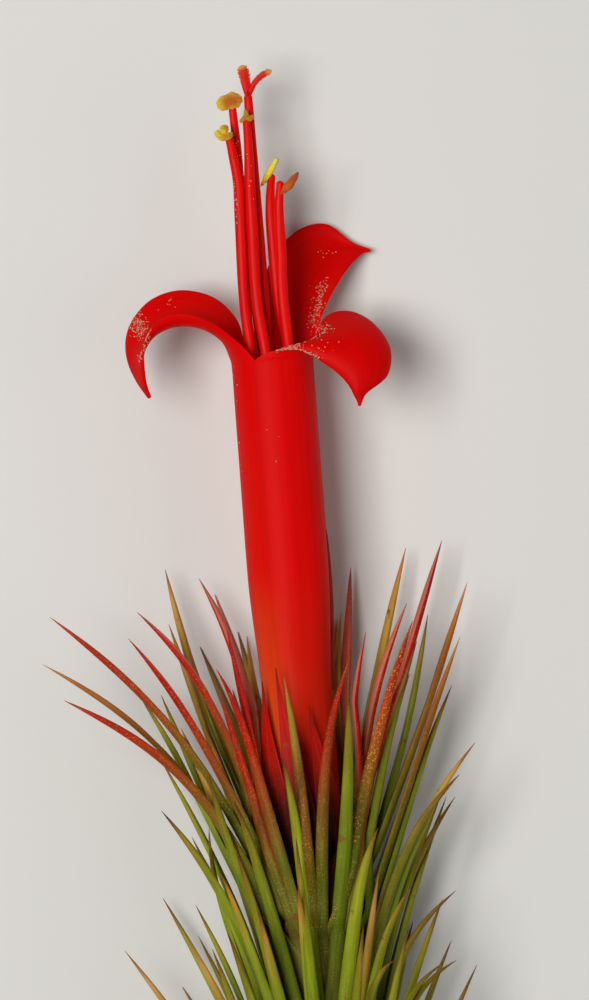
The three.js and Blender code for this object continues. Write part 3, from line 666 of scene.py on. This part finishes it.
scale_up = np.linspace(0, 1, SCALE_ROWS)[:, None]
scale_side = np.linspace(-1, 1, SCALE_POINTS)[None, :]
scale_edges = 1 - EDGE_THINNING * scale_side[..., None] ** 4
scale_tips = 1 - TIP_THINNING * scale_up[..., None] ** 3
for node, shape in SEPAL_SCALES.items():
    points = walled(scale_surface(scale_up, scale_side, **shape), SCALE_WALL * scale_edges * scale_tips)
    add_piece(
        node + "_scale", points[None], leaf_skin, node, "sepal",
        tint=ramp(scale_up, SCALE_TINTS_AND_FOOT_SHADE),
        inner=0.0,
        lie=lie_on_wall(scale_side, SCALE_WIDTH, scale_up * shape["length"], shape["facing"]),
        coat=SEPAL_COAT,
    )


# Crown sheaths. The crown's last leaves are short: living sheaths that follow the leaves' spiral,
# wrap the stem's end and close round the flower's foot. Their tints are dark all over: painted shade
# under the flower's foot.
SHEATH_LENGTH = 6.5
SHEATH_WIDTH = 1.8
SHEATH_ARC = 48
SHEATH_TIP_ARC = 1
SHEATH_FEET = np.linspace(-4.2, -9.6, 13)
FIRST_SHEATH = 118
# Olive to red-brown up a sheath, made dark throughout: painted shade.
SHEATH_SHADE_TINTS = ["#4c4e10", "#3e3c0c", "#46240c", "#54170a", "#3a0d07"]
SHEATH_COAT = 0.6

# The wall and the share of it lost at the edges, the gap to the rind at the foot, how much further
# off the tip stands, and how much nearer the edges are.
SHEATH_WALL = 0.14
SHEATH_EDGES = 0.6
SHEATH_GAP = 0.06
SHEATH_LIFT = 0.3
SHEATH_HUG = 0.05


def sheath_surface(up, side, foot, number):
    """A sheath wrapped round the stem: its arc closes to a point as one minus the square of the way
    up, and it lies the higher over the rind the further it is from its foot."""
    along = foot + SHEATH_LENGTH * up
    arc = SHEATH_ARC * (1 - up**2) + SHEATH_TIP_ARC
    radius = stem_radius(along) + SHEATH_GAP + SHEATH_LIFT * up - SHEATH_HUG * side**2
    return round_axis(radius, number * SPIRAL_TURN + FIRST_SHEATH + side * arc, along)


sheath_wall = SHEATH_WALL * (1 - SHEATH_EDGES * scale_side[..., None] ** 4)
sheaths = [
    walled(sheath_surface(scale_up, scale_side, foot, number), sheath_wall)
    for number, foot in enumerate(SHEATH_FEET)
]
sheath_numbers = np.arange(len(sheaths))[:, None, None]
add_piece(
    "crown_sheaths", np.stack(sheaths), leaf_skin, "leafy_stem", "leaf",
    tint=ramp(scale_up, SHEATH_SHADE_TINTS),
    inner=0.0,
    lie=lie_on_wall(scale_side, SHEATH_WIDTH, scale_up * SHEATH_LENGTH, sheath_numbers),
    coat=SHEATH_COAT,
)


# Petals. Three soft living petals, scarlet through and through, whose long narrow claws stand edge
# over edge as a tube and whose blades roll outwards at its mouth. They are smooth, a little
# translucent and softly glossy, with fine lengthwise veins.
BASE_RADIUS = 2.1
TUBE_RADIUS = 2.45
CLAW_WIDENS = (9, 17)
CLAW_ROWS = np.array([FLOWER_FOOT, 9, 11.5, 14.5, 17, 23, 27, 29.1])
PETAL_HALF_ARC = 63
EDGE_LAP = 0.012
PETAL_LENGTH = 45
PETAL_WIDTH = 2.6
PETAL_ROWS = 160
PETAL_SIDE = np.sin(np.linspace(-np.pi / 2, np.pi / 2, 37))[None, :]

# The wall at the middle, the shares of it lost at the edges and left at the tip, and the share of
# the petal that thins to the tip.
PETAL_WALL = 0.26
PETAL_EDGES = 0.92
TIP_WALL = 0.3
THIN_TIP = 0.2

# The way each petal faces round the tube, in degrees, and its blade past the tube's mouth as
# sections: one edge, the middle and the other edge.
PETALS = {
    "petal_left": (175, [
        [(-1.3, 29.9, 2.2), (-2.55, 29.8, 0.3), (-1.55, 30.1, -1.95)],
        [(-2.1, 30.8, 2.1), (-3.05, 31.0, 0.4), (-1.9, 32.0, -1.75)],
        [(-3.4, 31.9, 2.1), (-4.2, 31.85, 0.4), (-3.2, 33.5, -1.5)],
        [(-5.1, 32.6, 2.1), (-5.7, 32.0, 0.4), (-5.2, 34.1, -1.4)],
        [(-6.6, 32.3, 2.0), (-7.0, 31.5, 0.4), (-7.1, 33.6, -1.3)],
        [(-7.5, 31.1, 1.8), (-7.8, 30.5, 0.4), (-8.4, 32.2, -1.0)],
        [(-7.65, 29.7, 1.4), (-8.0, 29.4, 0.4), (-8.75, 30.6, -0.7)],
        [(-7.6, 28.6, 0.8), (-7.85, 28.5, 0.35), (-8.3, 29.1, -0.2)],
        [(-7.4, 27.85, 0.4), (-7.5, 27.75, 0.3), (-7.6, 27.85, 0.2)],
    ]),
    "petal_front": (55, [
        [(2.6, 30.1, -0.25), (1.8, 29.7, 1.95), (-0.75, 29.7, 2.4)],
        [(2.9, 31.2, -0.5), (2.6, 30.3, 1.7), (0.4, 30.0, 2.6)],
        [(3.7, 32.0, -0.6), (3.7, 30.7, 1.7), (1.9, 29.8, 2.7)],
        [(5.0, 32.0, -0.4), (4.8, 30.5, 2.0), (3.1, 29.0, 2.9)],
        [(6.3, 31.1, 0.4), (5.6, 29.7, 2.4), (4.0, 28.2, 3.0)],
        [(7.1, 29.6, 1.3), (5.9, 28.7, 2.7), (4.5, 27.5, 3.1)],
        [(6.8, 28.0, 2.1), (5.7, 27.7, 2.9), (4.7, 27.0, 3.1)],
        [(5.5, 27.1, 2.8), (5.2, 26.95, 3.0), (4.85, 26.65, 3.05)],
        [(5.04, 26.36, 3.03), (4.98, 26.3, 3.05), (4.92, 26.36, 3.05)],
    ]),
    "petal_back": (295, [
        [(-1.2, 30.0, -2.2), (1.15, 30.0, -2.6), (2.65, 30.2, -0.9)],
        [(-0.85, 32.0, -2.8), (1.5, 31.9, -3.3), (3.1, 31.7, -1.5)],
        [(-0.3, 34.0, -3.5), (2.1, 33.5, -3.95), (3.7, 32.9, -2.3)],
        [(0.6, 35.9, -4.3), (2.9, 34.9, -4.6), (4.5, 34.1, -3.2)],
        [(2.2, 37.3, -4.9), (3.7, 35.8, -5.0), (5.1, 34.85, -4.0)],
        [(3.9, 37.5, -5.1), (4.5, 36.2, -5.2), (5.6, 35.3, -4.5)],
        [(5.3, 36.35, -5.1), (5.5, 36.0, -5.15), (5.95, 35.55, -4.9)],
        [(6.38, 35.82, -5.08), (6.44, 35.72, -5.05), (6.4, 35.62, -5.02)],
    ]),
}

# Colours up a petal: its foot's, then the rest's. The foot is orange red, and paler on the left of
# the tube, the side the key lamp lights, from the first to the second distance left of the axis:
# that paleness is painted light.
LIT_PALE_FOOT = ["#d85420", "#d83e14", "#d80e04"]
RED_FOOT = ["#c02408", "#cc1404", "#d80301"]
PETAL_TINTS = ["#d80201", "#d80201", "#d40200", "#d20100", "#ce0100", "#ca0100"]
LIT_PALE_SIDE = (-0.4, 2.3)


def arcs_through(sections, side):
    """Each section's edge, middle and edge as an arc, at places from -1 to 1 between its edges: a
    piece of a circle, stretched so that it passes through the three."""
    start, middle, end = np.moveaxis(np.asarray(sections, float), 1, 0)
    centre = (start + end) / 2
    rise = middle - centre
    half = (end - start) / 2
    share = np.linalg.norm(rise, axis=-1) / np.linalg.norm(half, axis=-1)
    angle = 2 * np.arctan(np.maximum(share, 0.01))[:, None]
    turn = angle * side
    sideways = (np.sin(turn) / np.sin(angle))[..., None]
    upwards = ((np.cos(turn) - np.cos(angle)) / (1 - np.cos(angle)))[..., None]
    return centre[:, None] + half[:, None] * sideways + rise[:, None] * upwards


def smooth_rows(rows, steps):
    """Rows carried smoothly through the given ones: between two rows each point runs on the cubic
    whose slope at a row is half the way from the row before it to the row after it."""
    way = np.linspace(0, len(rows) - 1, steps)
    index = np.minimum(way.astype(int), len(rows) - 2)
    share = (way - index).reshape(-1, *[1] * (rows.ndim - 1))
    padded = np.concatenate([2 * rows[:1] - rows[1:2], rows, 2 * rows[-1:] - rows[-2:-1]])
    before, here, there, after = (padded[index + k] for k in range(4))
    slope_here = (there - before) / 2
    slope_there = (after - here) / 2
    rest = 3 * (there - here) - 2 * slope_here - slope_there
    turn_back = 2 * (here - there) + slope_here + slope_there
    return here + share * (slope_here + share * (rest + share * turn_back))


def petal_surface(facing, blade):
    """A petal over two parameters: round its arc from one edge over the middle to the other, and up
    its claw and blade. The claw's arc is turned a little, so that one edge lies on its neighbour."""
    radius = BASE_RADIUS + (TUBE_RADIUS - BASE_RADIUS) * smoothstep(CLAW_ROWS, *CLAW_WIDENS)
    claw = [
        round_axis(radius + edge * EDGE_LAP, facing + edge * PETAL_HALF_ARC, CLAW_ROWS)
        for edge in (-1, 0, 1)
    ]
    sections = np.concatenate([np.stack(claw, 1), np.array(blade)])
    return smooth_rows(arcs_through(sections, PETAL_SIDE), PETAL_ROWS)


# Petal flesh: thin cells full of scarlet sap over a pale inside, so light goes a little way in and
# comes out red. Veins run lengthwise about 0.35 mm apart, and the cells are 0.07 mm bumps.
VEIN_SPACING = 0.35
CELL_SIZE = 0.07
RED_LIGHT_REACH = (1.0, 0.08, 0.04)
petal_flesh, tree = start_material("scarlet_petal_flesh")
place = add_node(tree, "TexCoord").outputs["Object"]
veined, veins = streaked_tint(tree, (1 / VEIN_SPACING, 0.06, 1.0), detail=3.0, dark=0.93, light=1.05)
cells = add_node(tree, "TexNoise", {"Scale": 1 / (CELL_SIZE * MM)}, {"Vector": place})
cell_relief = add_node(tree, "Math", {"operation": "MULTIPLY", 1: 0.3}, {0: cells})
relief = add_node(tree, "Math", {"operation": "ADD"}, {0: cell_relief, 1: veins})
finish_material(tree, veined, relief, {
    "Roughness": 0.52,
    "Specular IOR Level": 0.05,
    "Subsurface Weight": 0.25,
    "Subsurface Radius": RED_LIGHT_REACH,
    "Subsurface Scale": 0.5 * MM,
}, depth=0.03, strength=0.3)

carriers = {}
petal_way = np.linspace(0, 1, PETAL_ROWS)
petal_tips = (TIP_WALL + (1 - TIP_WALL) * smoothstep(1 - petal_way, 0, THIN_TIP))[:, None, None]
petal_wall = PETAL_WALL * (1 - PETAL_EDGES * PETAL_SIDE[..., None] ** 6) * petal_tips
red, orange = (ramp(petal_way, foot + PETAL_TINTS)[:, None] for foot in (RED_FOOT, LIT_PALE_FOOT))
for node, (facing, blade) in PETALS.items():
    carriers[node] = walled(petal_surface(facing, blade), petal_wall)
    # Painted light: the foot turns paler towards the lit left side of the tube.
    pale = smoothstep(-carriers[node][..., :1], *LIT_PALE_SIDE)
    add_piece(
        node + "_flesh", carriers[node][None], petal_flesh, node, "petal",
        tint=red + (orange - red) * pale,
        lie=lie_on_wall(PETAL_SIDE, PETAL_WIDTH, PETAL_LENGTH * petal_way[:, None], facing),
    )


# Stamens. Six slim scarlet threads that rise from the tube round the style, each carrying a sac of
# pollen across its tip. The sacs have split and shrunk: grainy, crumpled, yellow to burnt orange.
THREAD_HALF = (0.34, 0.26)
THREAD_LENGTH = 44
THREAD_ROWS = 180
THREAD_RING = 16
THREAD_TINTS = ["#d00802", "#d80401", "#dc0401", "#e00a03"]

# Threads thin by a share over their last part, and round off at the tip, all but a small flat. The
# number that tells the streaks of one from the next one's rises by a step.
THREAD_THINNING = 0.3
THREAD_THINS = (0.7, 1)
THREAD_ROUNDING = 0.012
TIP_FLAT = 0.06
STREAK_STEP = 3.1

# Each thread stands at these radii and heights in the tube, on its own facing, and runs through its
# bends above it. Its sac follows one path for each lobe, as wide and thick as its half says, blunter
# the smaller its power, and narrower where it starts. The sac's tints turn to its rim's.
IN_TUBE = [(0.95, FLOWER_FOOT), (0.95, 9), (1.28, 18), (1.3, 28)]
STAMENS = [
    {
        "facing": 200,
        "bends": [(-1.36, 33, -0.5), (-1.24, 38, -0.45), (-1.16, 42, -0.35), (-1.26, 44.95, -0.4)],
        "sac": [[(-2.16, 44.92, -0.1), (-1.4, 45.14, -0.05), (-0.62, 45.24, -0.1)]],
        "half": (0.5, 0.2), "blunt": 0.5,
        "tints": ["#f0cc2c", "#c4661a", "#bc5814", "#cc7a1c"], "rim": "#ecba30",
    },
    {
        "facing": 150,
        "bends": [
            (-1.38, 33, 0.75), (-1.28, 37.9, 0.8), (-1.22, 40.2, 0.8), (-1.42, 41.8, 0.75),
            (-1.6, 43.05, 0.6),
        ],
        "sac": [
            [(-2.3, 43.42, 0.8), (-2.12, 43.1, 0.85), (-1.76, 43.04, 0.95), (-1.32, 43.12, 0.95)],
            [(-1.9, 43.1, 0.9), (-1.86, 43.42, 0.85), (-1.64, 43.66, 0.8)],
        ],
        "half": (0.26, 0.22), "blunt": 0.35,
        "tints": ["#f4e034", "#e8c830", "#d0861f", "#c87824"], "rim": "#eccb34",
    },
    {
        "facing": 100,
        "bends": [
            (-0.64, 33, 1.15), (-0.6, 37, 1.0), (-0.54, 40, 0.9), (-0.46, 42.2, 0.8),
            (-0.46, 44.2, 0.6),
        ],
        "sac": [
            [(-0.88, 43.82, 0.8), (-0.62, 44.0, 0.85), (-0.46, 44.22, 0.9), (-0.5, 44.56, 0.85)],
            [(-0.5, 44.02, 0.9), (-0.24, 44.0, 0.9), (0.0, 44.16, 0.85)],
        ],
        "half": (0.17, 0.16), "blunt": 0.4,
        "tints": ["#d8a42a", "#c48420", "#c0791e", "#d89428"], "rim": "#d8a832",
    },
    {
        "facing": 340,
        "bends": [(0.66, 33, -0.45), (0.56, 37, -0.4), (0.6, 39, -0.4), (0.8, 40.65, -0.8)],
        "sac": [[(0.14, 39.98, -0.75), (0.44, 40.4, -0.65), (0.8, 40.92, -0.6), (1.2, 41.52, -0.5)]],
        "half": (0.22, 0.18), "blunt": 0.2, "start": 0.6,
        "tints": ["#ecb032", "#f6da2c", "#f8e434", "#f6e468"], "rim": "#f6dc34",
    },
    {
        "facing": 30,
        "bends": [(0.92, 33, 0.65), (1.02, 36, 0.6), (1.08, 38.4, 0.55), (1.3, 40.15, 0.65)],
        "sac": [[(1.24, 39.32, 0.8), (1.86, 39.9, 0.95), (2.4, 40.56, 0.8)]],
        "half": (0.27, 0.22), "blunt": 0.8,
        "tints": ["#c84a16", "#cc5c1a", "#c04a16", "#b23c16"], "rim": "#cc6a2a",
    },
    {
        "facing": 250,
        "bends": [(-0.7, 33, -1.15), (-0.78, 38, -0.95), (-0.84, 40.66, -0.9)],
        "sac": [[(-1.03, 40.7, -0.9), (-0.86, 40.58, -0.9), (-0.72, 40.76, -0.9), (-0.64, 40.92, -0.9)]],
        "half": (0.08, 0.08), "blunt": 0.3,
        "tints": ["#e0a070", "#d87a3a", "#d06a2a", "#d87a3a"], "rim": "#e0a070",
    },
]


def tube_along(line, half_across, half_out, ring):
    """A tube carried along a line: at each point an ellipse square to the line's heading, with its
    first half width across and its second towards the sky."""
    heading = unit(np.gradient(line, axis=0))
    across = unit(np.cross(heading, [0, 0, 1.0]) + [1e-6, 0, 0])
    out = np.cross(across, heading)
    turn = full_turn(ring)
    aside = half_across * np.cos(turn)
    raised = half_out * np.sin(turn)
    return line[:, None] + across[:, None] * aside[..., None] - out[:, None] * raised[..., None]


# Thread flesh: the petals' tissue drawn out to a thread, smooth and wet looking, with fine streaks.
thread_flesh, tree = start_material("scarlet_thread_flesh")
thread_colour, thread_streaks = streaked_tint(tree, (6.0, 0.25, 1.0), detail=2.0, dark=0.8, light=1.15)
finish_material(tree, thread_colour, thread_streaks, {
    "Roughness": 0.42,
    "Specular IOR Level": 0.09,
    "Subsurface Weight": 0.25,
    "Subsurface Radius": RED_LIGHT_REACH,
    "Subsurface Scale": 0.3 * MM,
}, depth=0.02, strength=0.3)

# Pollen: dry grains about 0.06 mm across, packed in the split sacs. It is matt and crumbly. Each
# grain is lighter at its middle and darker towards the gaps between grains: painted shade.
GRAIN_SIZE = 0.06
pollen, tree = start_material("grainy_dry_pollen")
place = add_node(tree, "TexCoord").outputs["Object"]
tint = add_node(tree, "Attribute", {"attribute_name": "tint"})
grains = add_node(tree, "TexVoronoi", {"Scale": 1 / (GRAIN_SIZE * MM)}, {"Vector": place})
grain_gap_shade = add_node(tree, "MapRange", {"From Max": 0.7, "To Min": 1.2, "To Max": 0.7}, {"Value": grains})
grain_colour = add_node(tree, "VectorMath", {"operation": "SCALE"}, {0: tint, "Scale": grain_gap_shade})
finish_material(tree, grain_colour, grain_gap_shade, {
    "Roughness": 0.85,
    "Specular IOR Level": 0.3,
    "Subsurface Weight": 0.05,
}, depth=0.03, strength=0.7)

# A sac's girth at its ends and how far up it a narrow start widens, and the depth of its seams, its
# long and its short crumples and the grains on it, all in shares.
SAC_ROWS = 30
SAC_RING = 32
SAC_END = 0.12
SAC_WIDENS = 0.6
SEAM_DEPTH = 0.15
LONG_CRUMPLE = 0.09
SHORT_CRUMPLE = 0.07
CRUMB = 0.05
crumbs = np.random.default_rng(31)


def sac_surface(path, half, blunt, start, number):
    """A pollen sac: an ellipse carried along its path, narrower at its start, its ends a power of a
    sine, pinched along two seams, crumpled by sines of both parameters and rough with grains."""
    way = np.linspace(0, 1, SAC_ROWS)[:, None]
    turn = full_turn(SAC_RING)
    girth = SAC_END + (1 - SAC_END) * np.sin(np.pi * np.clip(way, 0.02, 0.98)) ** blunt
    girth = girth * (start + (1 - start) * smoothstep(way, 0, SAC_WIDENS))
    seams = 1 - SEAM_DEPTH * np.abs(np.sin(turn + 0.4 * number)) ** 6
    crumple = LONG_CRUMPLE * np.sin(9 * way + 2 * turn + number)
    crumple = crumple + SHORT_CRUMPLE * np.sin(17 * way - 3 * turn)
    size = girth * seams * (1 + crumple + CRUMB * crumbs.normal(size=(SAC_ROWS, SAC_RING)))
    return tube_along(smooth_rows(np.array(path), SAC_ROWS), half[0] * size, half[1] * size, SAC_RING)


def rimmed(tints, rim, ring, power):
    """Colours of a flat piece: its tints up its middle turn to its rim's towards both its edges, by
    a power of the cosine of the turn."""
    edge = np.abs(np.cos(full_turn(ring)))[None, :, None] ** power
    return tints[:, None] * (1 - edge) + np.array(linear(rim)) * edge


thread_way = np.linspace(0, 1, THREAD_ROWS)[:, None]
rounding = np.sqrt(np.clip((1 - thread_way) / THREAD_ROUNDING, TIP_FLAT, 1))
taper = rounding * (1 - THREAD_THINNING * smoothstep(thread_way, *THREAD_THINS))
sac_way = np.linspace(0, 1, SAC_ROWS)
for number, stamen in enumerate(STAMENS, 1):
    in_tube = [round_axis(radius, stamen["facing"], along) for radius, along in IN_TUBE]
    line = smooth_rows(np.array([*in_tube, *stamen["bends"]]), THREAD_ROWS)
    points = tube_along(line, THREAD_HALF[0] * taper, THREAD_HALF[1] * taper, THREAD_RING)
    carriers[f"filament_{number}"] = points
    add_piece(
        f"thread_{number}", points[None], thread_flesh, f"filament_{number}", "filament",
        tint=ramp(thread_way, THREAD_TINTS),
        lie=stacked(np.cos(full_turn(THREAD_RING)), THREAD_LENGTH * thread_way, STREAK_STEP * number),
    )
    sacs = [
        sac_surface(path, stamen["half"], stamen["blunt"], stamen.get("start", 1), number)
        for path in stamen["sac"]
    ]
    add_piece(
        f"pollen_sac_{number}", np.stack(sacs), pollen, f"anther_{number}", "pollen",
        tint=rimmed(ramp(sac_way, stamen["tints"]), stamen["rim"], SAC_RING, 3),
    )


# Pistil. The ovary sits at the flower's foot, and its style rises between the threads and splits
# into three short stigma lobes with pale, knobbly, sticky rims. It is the threads' red tissue.
STYLE_TOP = 45.8
STYLE_ACROSS = [(FLOWER_FOOT, -0.15), (36, -0.15), (STYLE_TOP, -0.27)]
OVARY_RADII = [(FLOWER_FOOT, 0.35), (2.5, 0.42), (4.5, 0.38)]
STYLE_RADII = [(6.5, 0.25), (30, 0.25), (45.15, 0.27), (45.5, 0.24), (45.7, 0.16), (STYLE_TOP, 0.06)]
PISTIL_LENGTH = 46
PISTIL_ROWS = 90
PISTIL_RING = 24

# The stigma's lobes: the path of each, and its half widths along it.
STIGMA_LOBES = [
    (
        [(-0.27, 45.5, 0), (-0.34, 46.2, 0.05), (-0.42, 46.8, 0.1), (-0.55, 47.24, 0.1)],
        [0.2, 0.3, 0.36, 0.27],
    ),
    (
        [(-0.2, 45.5, 0), (0.2, 46.14, 0.05), (0.7, 46.56, 0.1), (1.27, 46.8, 0.1)],
        [0.18, 0.18, 0.21, 0.19],
    ),
    (
        [(-0.2, 45.5, 0), (-0.26, 46, -0.2), (-0.3, 46.4, -0.4), (-0.34, 46.8, -0.6)],
        [0.18, 0.22, 0.22, 0.16],
    ),
]
LOBE_TINTS = ["#de0a03", "#d81006", "#cc1a0a", "#cc2a10", "#e0b060"]
LOBE_RIM = "#e6c088"

# A lobe's thickness, how much it swells over its last part, how deep its edges are crimped, where
# that and the pale rim begin, and where its end rounds off.
LOBE_THICKNESS = 0.1
LOBE_SWELLING = 0.6
LOBE_SWELLS = (0.7, 1)
CRIMP_DEPTH = 0.07
CRIMP_BEGINS = (0.2, 0.6)
RIM_BEGINS = (0.15, 0.45)
LOBE_ROUNDS = 0.86

pistil_way = np.linspace(0, 1, PISTIL_ROWS)
style_along = np.linspace(FLOWER_FOOT, STYLE_TOP, PISTIL_ROWS)
style_line = stacked(np.interp(style_along, *zip(*STYLE_ACROSS)), style_along, 0)
style_half = np.interp(style_along, *zip(*OVARY_RADII, *STYLE_RADII))[:, None]


def lobe_surface(path, half):
    """A stigma lobe: a flat ellipse carried along its path, its width straight between its halves,
    with edges crimped by two sines of the way up and an end that rounds off as a circle."""
    waves = np.sin(38 * pistil_way) + np.sin(61 * pistil_way)
    crimp = 1 + CRIMP_DEPTH * smoothstep(pistil_way, *CRIMP_BEGINS) * waves
    rounding = np.sqrt(1 - np.clip((pistil_way - LOBE_ROUNDS) / (1 - LOBE_ROUNDS), 0, 0.98) ** 2)
    wide = np.interp(pistil_way, np.linspace(0, 1, len(half)), half) * crimp * rounding
    thick = LOBE_THICKNESS * (1 + LOBE_SWELLING * smoothstep(pistil_way, *LOBE_SWELLS)) * rounding
    line = smooth_rows(np.array(path), PISTIL_ROWS)
    return tube_along(line, wide[:, None], thick[:, None], PISTIL_RING)


style = tube_along(style_line, style_half, style_half, PISTIL_RING)
lobes = [lobe_surface(*lobe) for lobe in STIGMA_LOBES]
lobe_reds = ramp(pistil_way, LOBE_TINTS)
rim_share = smoothstep(pistil_way, *RIM_BEGINS)[:, None, None]
pale_rims = rimmed(lobe_reds, LOBE_RIM, PISTIL_RING, 10)
lobe_tints = pale_rims * rim_share + lobe_reds[:, None] * (1 - rim_share)
style_tints = np.broadcast_to(ramp(pistil_way, THREAD_TINTS)[:, None], lobe_tints.shape)
add_piece(
    "style_and_stigma", np.stack([style, *lobes]), thread_flesh, "pistil", "filament",
    tint=np.stack([style_tints, lobe_tints, lobe_tints, lobe_tints]),
    lie=stacked(np.cos(full_turn(PISTIL_RING)), PISTIL_LENGTH * pistil_way[:, None], 0),
)


# Fallen pollen. The sacs' dry pollen has dropped on the petals round the mouth and on the threads
# and sticks there, in clumps of a few grains, 0.06 to 0.11 mm across. Light goes through so small a
# clump, so it looks paler. Where the pale clumps are packed in dense bands, on the front petal's lip,
# the back petal and the left petal's bend, they also stand in for the petals' glossy sheen there:
# painted highlight.
CLUMP_HALF = 0.048
CLUMP_STRAY = (0.6, 1.15)
CLUMP_AND_SHEEN_TINTS = ["#f09a80", "#ffc8aa", "#ee6e54"]
HEIGHT_PULL = 0.03

# A clump's square sections, in shares of its half width: how wide and how high each is.
CLUMP_SECTIONS = [(0.35, -0.8), (1, 0), (0.35, 0.8)]

# What they lie on, the line [across, along] that they are strewn along, how many and how far off.
# The dense bands on the front petal's lip, along the back petal and on the left petal's bend are partly
# pollen and partly painted highlight, standing in for the petals' sheen.
STREWN = [
    ("petal_front", (0.1, 29.95), (0.6, 30.1), 10, 0.05),
    ("petal_front", (0.4, 30.1), (1.6, 30.15), 130, 0.08),
    ("petal_front", (1.5, 30.05), (2.8, 29.4), 60, 0.05),
    ("petal_front", (0.7, 30.36), (1.7, 30.45), 10, 0.07),
    ("petal_front", (1.6, 30.45), (2.7, 30.9), 14, 0.06),
    ("petal_front", (2.5, 31.0), (3.5, 31.1), 80, 0.18),
    ("petal_front", (2.4, 30.2), (3.9, 30.0), 12, 0.3),
    ("petal_back", (2.5, 31.2), (3.3, 34.0), 190, 0.2),
    ("petal_back", (3.2, 35.9), (4.4, 35.6), 8, 0.2),
    ("petal_left", (-8.0, 32.5), (-7.5, 31.5), 240, 0.24),
    ("petal_left", (-7.3, 31.2), (-8.0, 30.2), 40, 0.08),
    ("petal_left", (-6.4, 33.1), (-5.7, 33.3), 7, 0.15),
    ("petal_left", (-2.3, 29.6), (-2.4, 22.5), 8, 0.08),
    ("petal_front", (-0.7, 26.0), (0.4, 22.6), 3, 0.4),
    ("filament_1", (-1.2, 42.8), (-1.15, 40.8), 14, 0.12),
    ("filament_2", (-1.55, 40.6), (-1.5, 37.6), 26, 0.06),
    ("filament_3", (-0.6, 42.0), (-0.5, 38.5), 6, 0.12),
]


def strewn_places(carrier, start, end, count, spread):
    """Places at random along a line, each put on the carrier's point whose distance squared, less a
    little of its height, is least, and moved at random towards the next points beside that."""
    way = strewing.uniform(0, 1, (count, 1))
    wanted = start + way * np.subtract(end, start) + strewing.normal(0, spread, (count, 2))
    surface = carriers[carrier]
    rows, ring, _ = surface.shape
    flat = surface.reshape(1, -1, 3)
    apart = ((flat[..., :2] - wanted[:, None]) ** 2).sum(-1) - HEIGHT_PULL * flat[..., 2]
    row, place = np.divmod(np.argmin(apart, axis=1), ring)
    here = surface[row, place]
    further = surface[np.minimum(row + 1, rows - 1), place] - here
    beside = surface[row, (place + 1) % ring] - here
    shares = strewing.uniform(0, 1, (2, count, 1))
    return here + shares[0] * further + shares[1] * beside


strewing = np.random.default_rng(17)
places = np.concatenate([strewn_places(*line) for line in STREWN])
clump_size = CLUMP_HALF * strewing.uniform(*CLUMP_STRAY, (len(places), 1, 1, 1))
square = round_axis(1, [0, -90, -180, -270], 0)[:, [0, 2, 1]]
clump = np.array([radius * square + [0, 0, height] for radius, height in CLUMP_SECTIONS])
clumps = places[:, None, None] + [0, 0, 0.5 * CLUMP_HALF] + clump_size * clump
picks = strewing.integers(0, len(CLUMP_AND_SHEEN_TINTS), len(places))
clump_and_sheen_tints = np.array([linear(tint) for tint in CLUMP_AND_SHEEN_TINTS])[picks]
add_piece("fallen_pollen_and_sheen", clumps, pollen, None, "pollen", tint=clump_and_sheen_tints[:, None, None])


# Floor, light and camera. A plain pale surface under the shoot, one big soft lamp from the upper
# left and a weaker one from the right, and a camera that looks straight down from far off.
VIEW_CENTRE = (0.707, 21.0)
VIEW_HEIGHT = 60.0
VIEW_LEAN = -4.3
SENSOR = 36.0

# In metres: how far the camera is above the shoot, and the spot that both lamps are turned to.
CAMERA_DISTANCE = 0.6
LIT_SPOT = (0, 0.02, 0)

floor_paint, tree = start_material("matt_pale_board")
board = add_node(tree, "BsdfPrincipled", {"Base Color": linear("#dad8d3"), "Roughness": 0.9})
add_node(tree, "OutputMaterial", {}, {"Surface": board.outputs[0]})
floor_mesh = bpy.data.meshes.new("pale_board")
corners = [(-1, -1, 0), (1, -1, 0), (1, 1, 0), (-1, 1, 0)]
floor_mesh.from_pydata(corners, [], [(0, 1, 2, 3)])
floor_mesh.materials.append(floor_paint)
floor = bpy.data.objects.new("pale_board", floor_mesh)
bpy.context.scene.collection.objects.link(floor)


def add_lamp(name, place, size, power):
    """A square area lamp at a place, turned to the lit spot."""
    lamp = bpy.data.lights.new(name, "AREA")
    lamp.size = size
    lamp.energy = power
    holder = bpy.data.objects.new(name, lamp)
    holder.location = place
    aim = Vector(LIT_SPOT) - Vector(place)
    holder.rotation_euler = aim.to_track_quat("-Z", "Y").to_euler()
    bpy.context.scene.collection.objects.link(holder)


add_lamp("key_lamp", (-0.15, 0.05, 0.42), size=0.2, power=1.75)
add_lamp("fill_lamp", (0.35, -0.05, 0.30), size=0.35, power=0.35)

sky = bpy.data.worlds.new("studio_sky")
sky.use_nodes = True
sky.node_tree.nodes["Background"].inputs["Color"].default_value = linear("#f0eeea")
sky.node_tree.nodes["Background"].inputs["Strength"].default_value = 0.13
bpy.context.scene.world = sky
bpy.context.scene.view_settings.view_transform = "Standard"

lens = bpy.data.cameras.new("camera")
lens.sensor_width = SENSOR
lens.lens = SENSOR * CAMERA_DISTANCE / (VIEW_HEIGHT * MM)
lens.clip_end = 10
camera = bpy.data.objects.new("camera", lens)
camera.location = (
    (VIEW_CENTRE[0] + SHOOT_FOOT[0]) * MM,
    (VIEW_CENTRE[1] + SHOOT_FOOT[1]) * MM,
    CAMERA_DISTANCE + AXIS_HEIGHT * MM,
)
camera.rotation_euler = (0, 0, np.radians(VIEW_LEAN))
bpy.context.scene.collection.objects.link(camera)
bpy.context.scene.camera = camera
